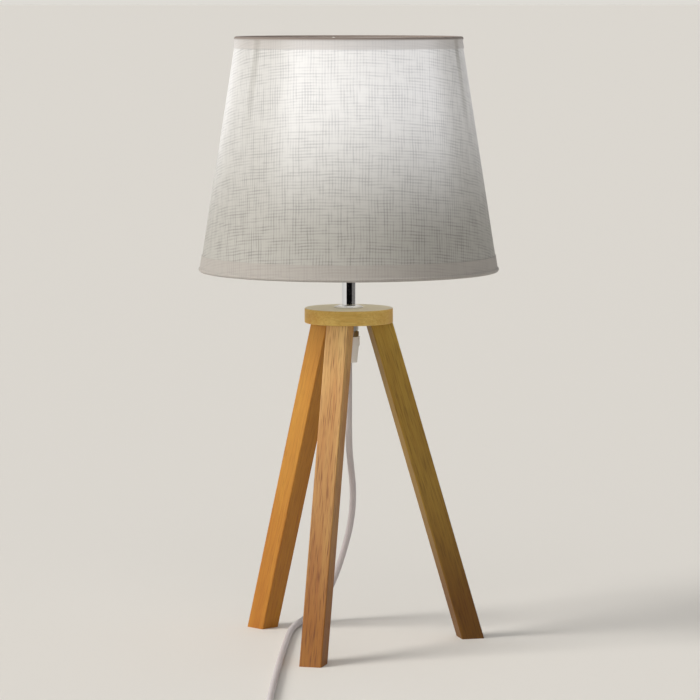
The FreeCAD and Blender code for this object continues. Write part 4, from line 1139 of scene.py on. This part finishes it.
def moulded(name, colour, shadow, rough, grit, relief=0.03):
    """A smooth finish, mottled between two colours, with a grit in mm in its surface."""
    # The lead's sheath is there already, because its curves needed it.
    finish = bpy.data.materials.get(name) or bpy.data.materials.new(name)
    finish.use_nodes = True
    tree = finish.node_tree
    shader = tree.nodes["Principled BSDF"]
    places = add_node(tree, "ShaderNodeTexCoord")
    clouds = add_node(
        tree,
        "ShaderNodeTexNoise",
        {"Vector": places.outputs["Object"], "Scale": 1 / (CLOUD_SIZE * MM), "Detail": 2.0},
    )
    tone = add_node(
        tree,
        "ShaderNodeMix",
        {0: clouds.outputs["Fac"], 6: linear(shadow), 7: linear(colour)},
        data_type="RGBA",
    )
    tree.links.new(tone.outputs[2], shader.inputs["Base Color"])
    grains = add_node(
        tree,
        "ShaderNodeTexNoise",
        {"Vector": places.outputs["Object"], "Scale": 1 / (grit * MM), "Detail": 1.0},
    )
    roughness = add_node(
        tree,
        "ShaderNodeMapRange",
        {"Value": grains.outputs["Fac"], "To Min": rough * 0.85, "To Max": rough * 1.15},
    )
    tree.links.new(roughness.outputs[0], shader.inputs["Roughness"])
    bump = add_node(
        tree,
        "ShaderNodeBump",
        {"Strength": 0.3, "Distance": relief * MM, "Height": grains.outputs["Fac"]},
    )
    tree.links.new(bump.outputs[0], shader.inputs["Normal"])
    return finish


white_abs = moulded("moulded_white_abs", "#EDEBE7", "#E2E0DB", 0.38, 0.5)
white_pvc = moulded("white_pvc_sheath", "#CBC4C5", "#BDB6B8", 0.45, 0.8)
white_enamel = moulded("white_enamelled_wire", "#EFEDE9", "#E4E2DD", 0.25, 1.5)
ceramic = moulded("glazed_ceramic", "#EAE7E0", "#DFDBD2", 0.18, 2.0)
black_glass = moulded("black_glass_insulator", "#17161A", "#0E0E10", 0.15, 1.0)
brown_core = moulded("brown_core_insulation", "#6B4228", "#5B3620", 0.4, 0.8)
blue_core = moulded("blue_core_insulation", "#3F6DA8", "#345C91", 0.4, 0.8)
paper_tie = moulded("paper_covered_wire", "#E3DFD6", "#D2CDC2", 0.8, 0.6, 0.08)
dress(white_abs, "cord_grip", "holder_cap", "holder_sleeve", "shade_ring", "pin_sleeves")
dress(white_abs, "switch_base", "switch_cover", "switch_rocker", "plug_body")
dress(white_pvc, "stem_lead", "switch_lead_ends")
dress(white_enamel, "fitter_ring", "spider_arms")
dress(ceramic, "holder_core")
dress(black_glass, "bulb_insulator")
dress(brown_core, "live_core", "switch_live_cores")
dress(blue_core, "neutral_core", "switch_neutral_core")
dress(paper_tie, "cord_tie")

# %% Bulb
# Opal glass glows evenly over the globe, so it is emission on a glossy white surface.
opal = moulded("opal_glass_globe", "#F6F2EA", "#EEEAE2", 0.12, 3.0)
opal_shader = opal.node_tree.nodes["Principled BSDF"]
opal_shader.inputs["Emission Color"].default_value = linear("#FFF8EC")
opal_shader.inputs["Emission Strength"].default_value = 0.9
dress(opal, "bulb_globe")
clear_glass = moulded("clear_glass_mount", "#EEF2F2", "#E4EAEA", 0.05, 4.0)
clear_shader = clear_glass.node_tree.nodes["Principled BSDF"]
clear_shader.inputs["Transmission Weight"].default_value = 0.9
clear_shader.inputs["IOR"].default_value = 1.5
dress(clear_glass, "filament_mount")

# %% Bulb light
# A point lamp a little larger than the globe lights the shade's inside and the plate.
BULB_POWER = 0.4
BULB_COLOUR = (0.86, 0.95, 1.0)
globe_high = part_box("bulb_globe")[1]
bulb_data = bpy.data.lights.new("bulb", "POINT")
bulb_data.energy = BULB_POWER
bulb_data.color = BULB_COLOUR
bulb_data.shadow_soft_size = globe_high.x + 1.0 * MM
bulb_light = into_scene("bulb", bulb_data)
bulb_light.location = (0.0, 0.0, globe_high.z - globe_high.x)

# %% View transform
bpy.context.scene.view_settings.view_transform = "Standard"
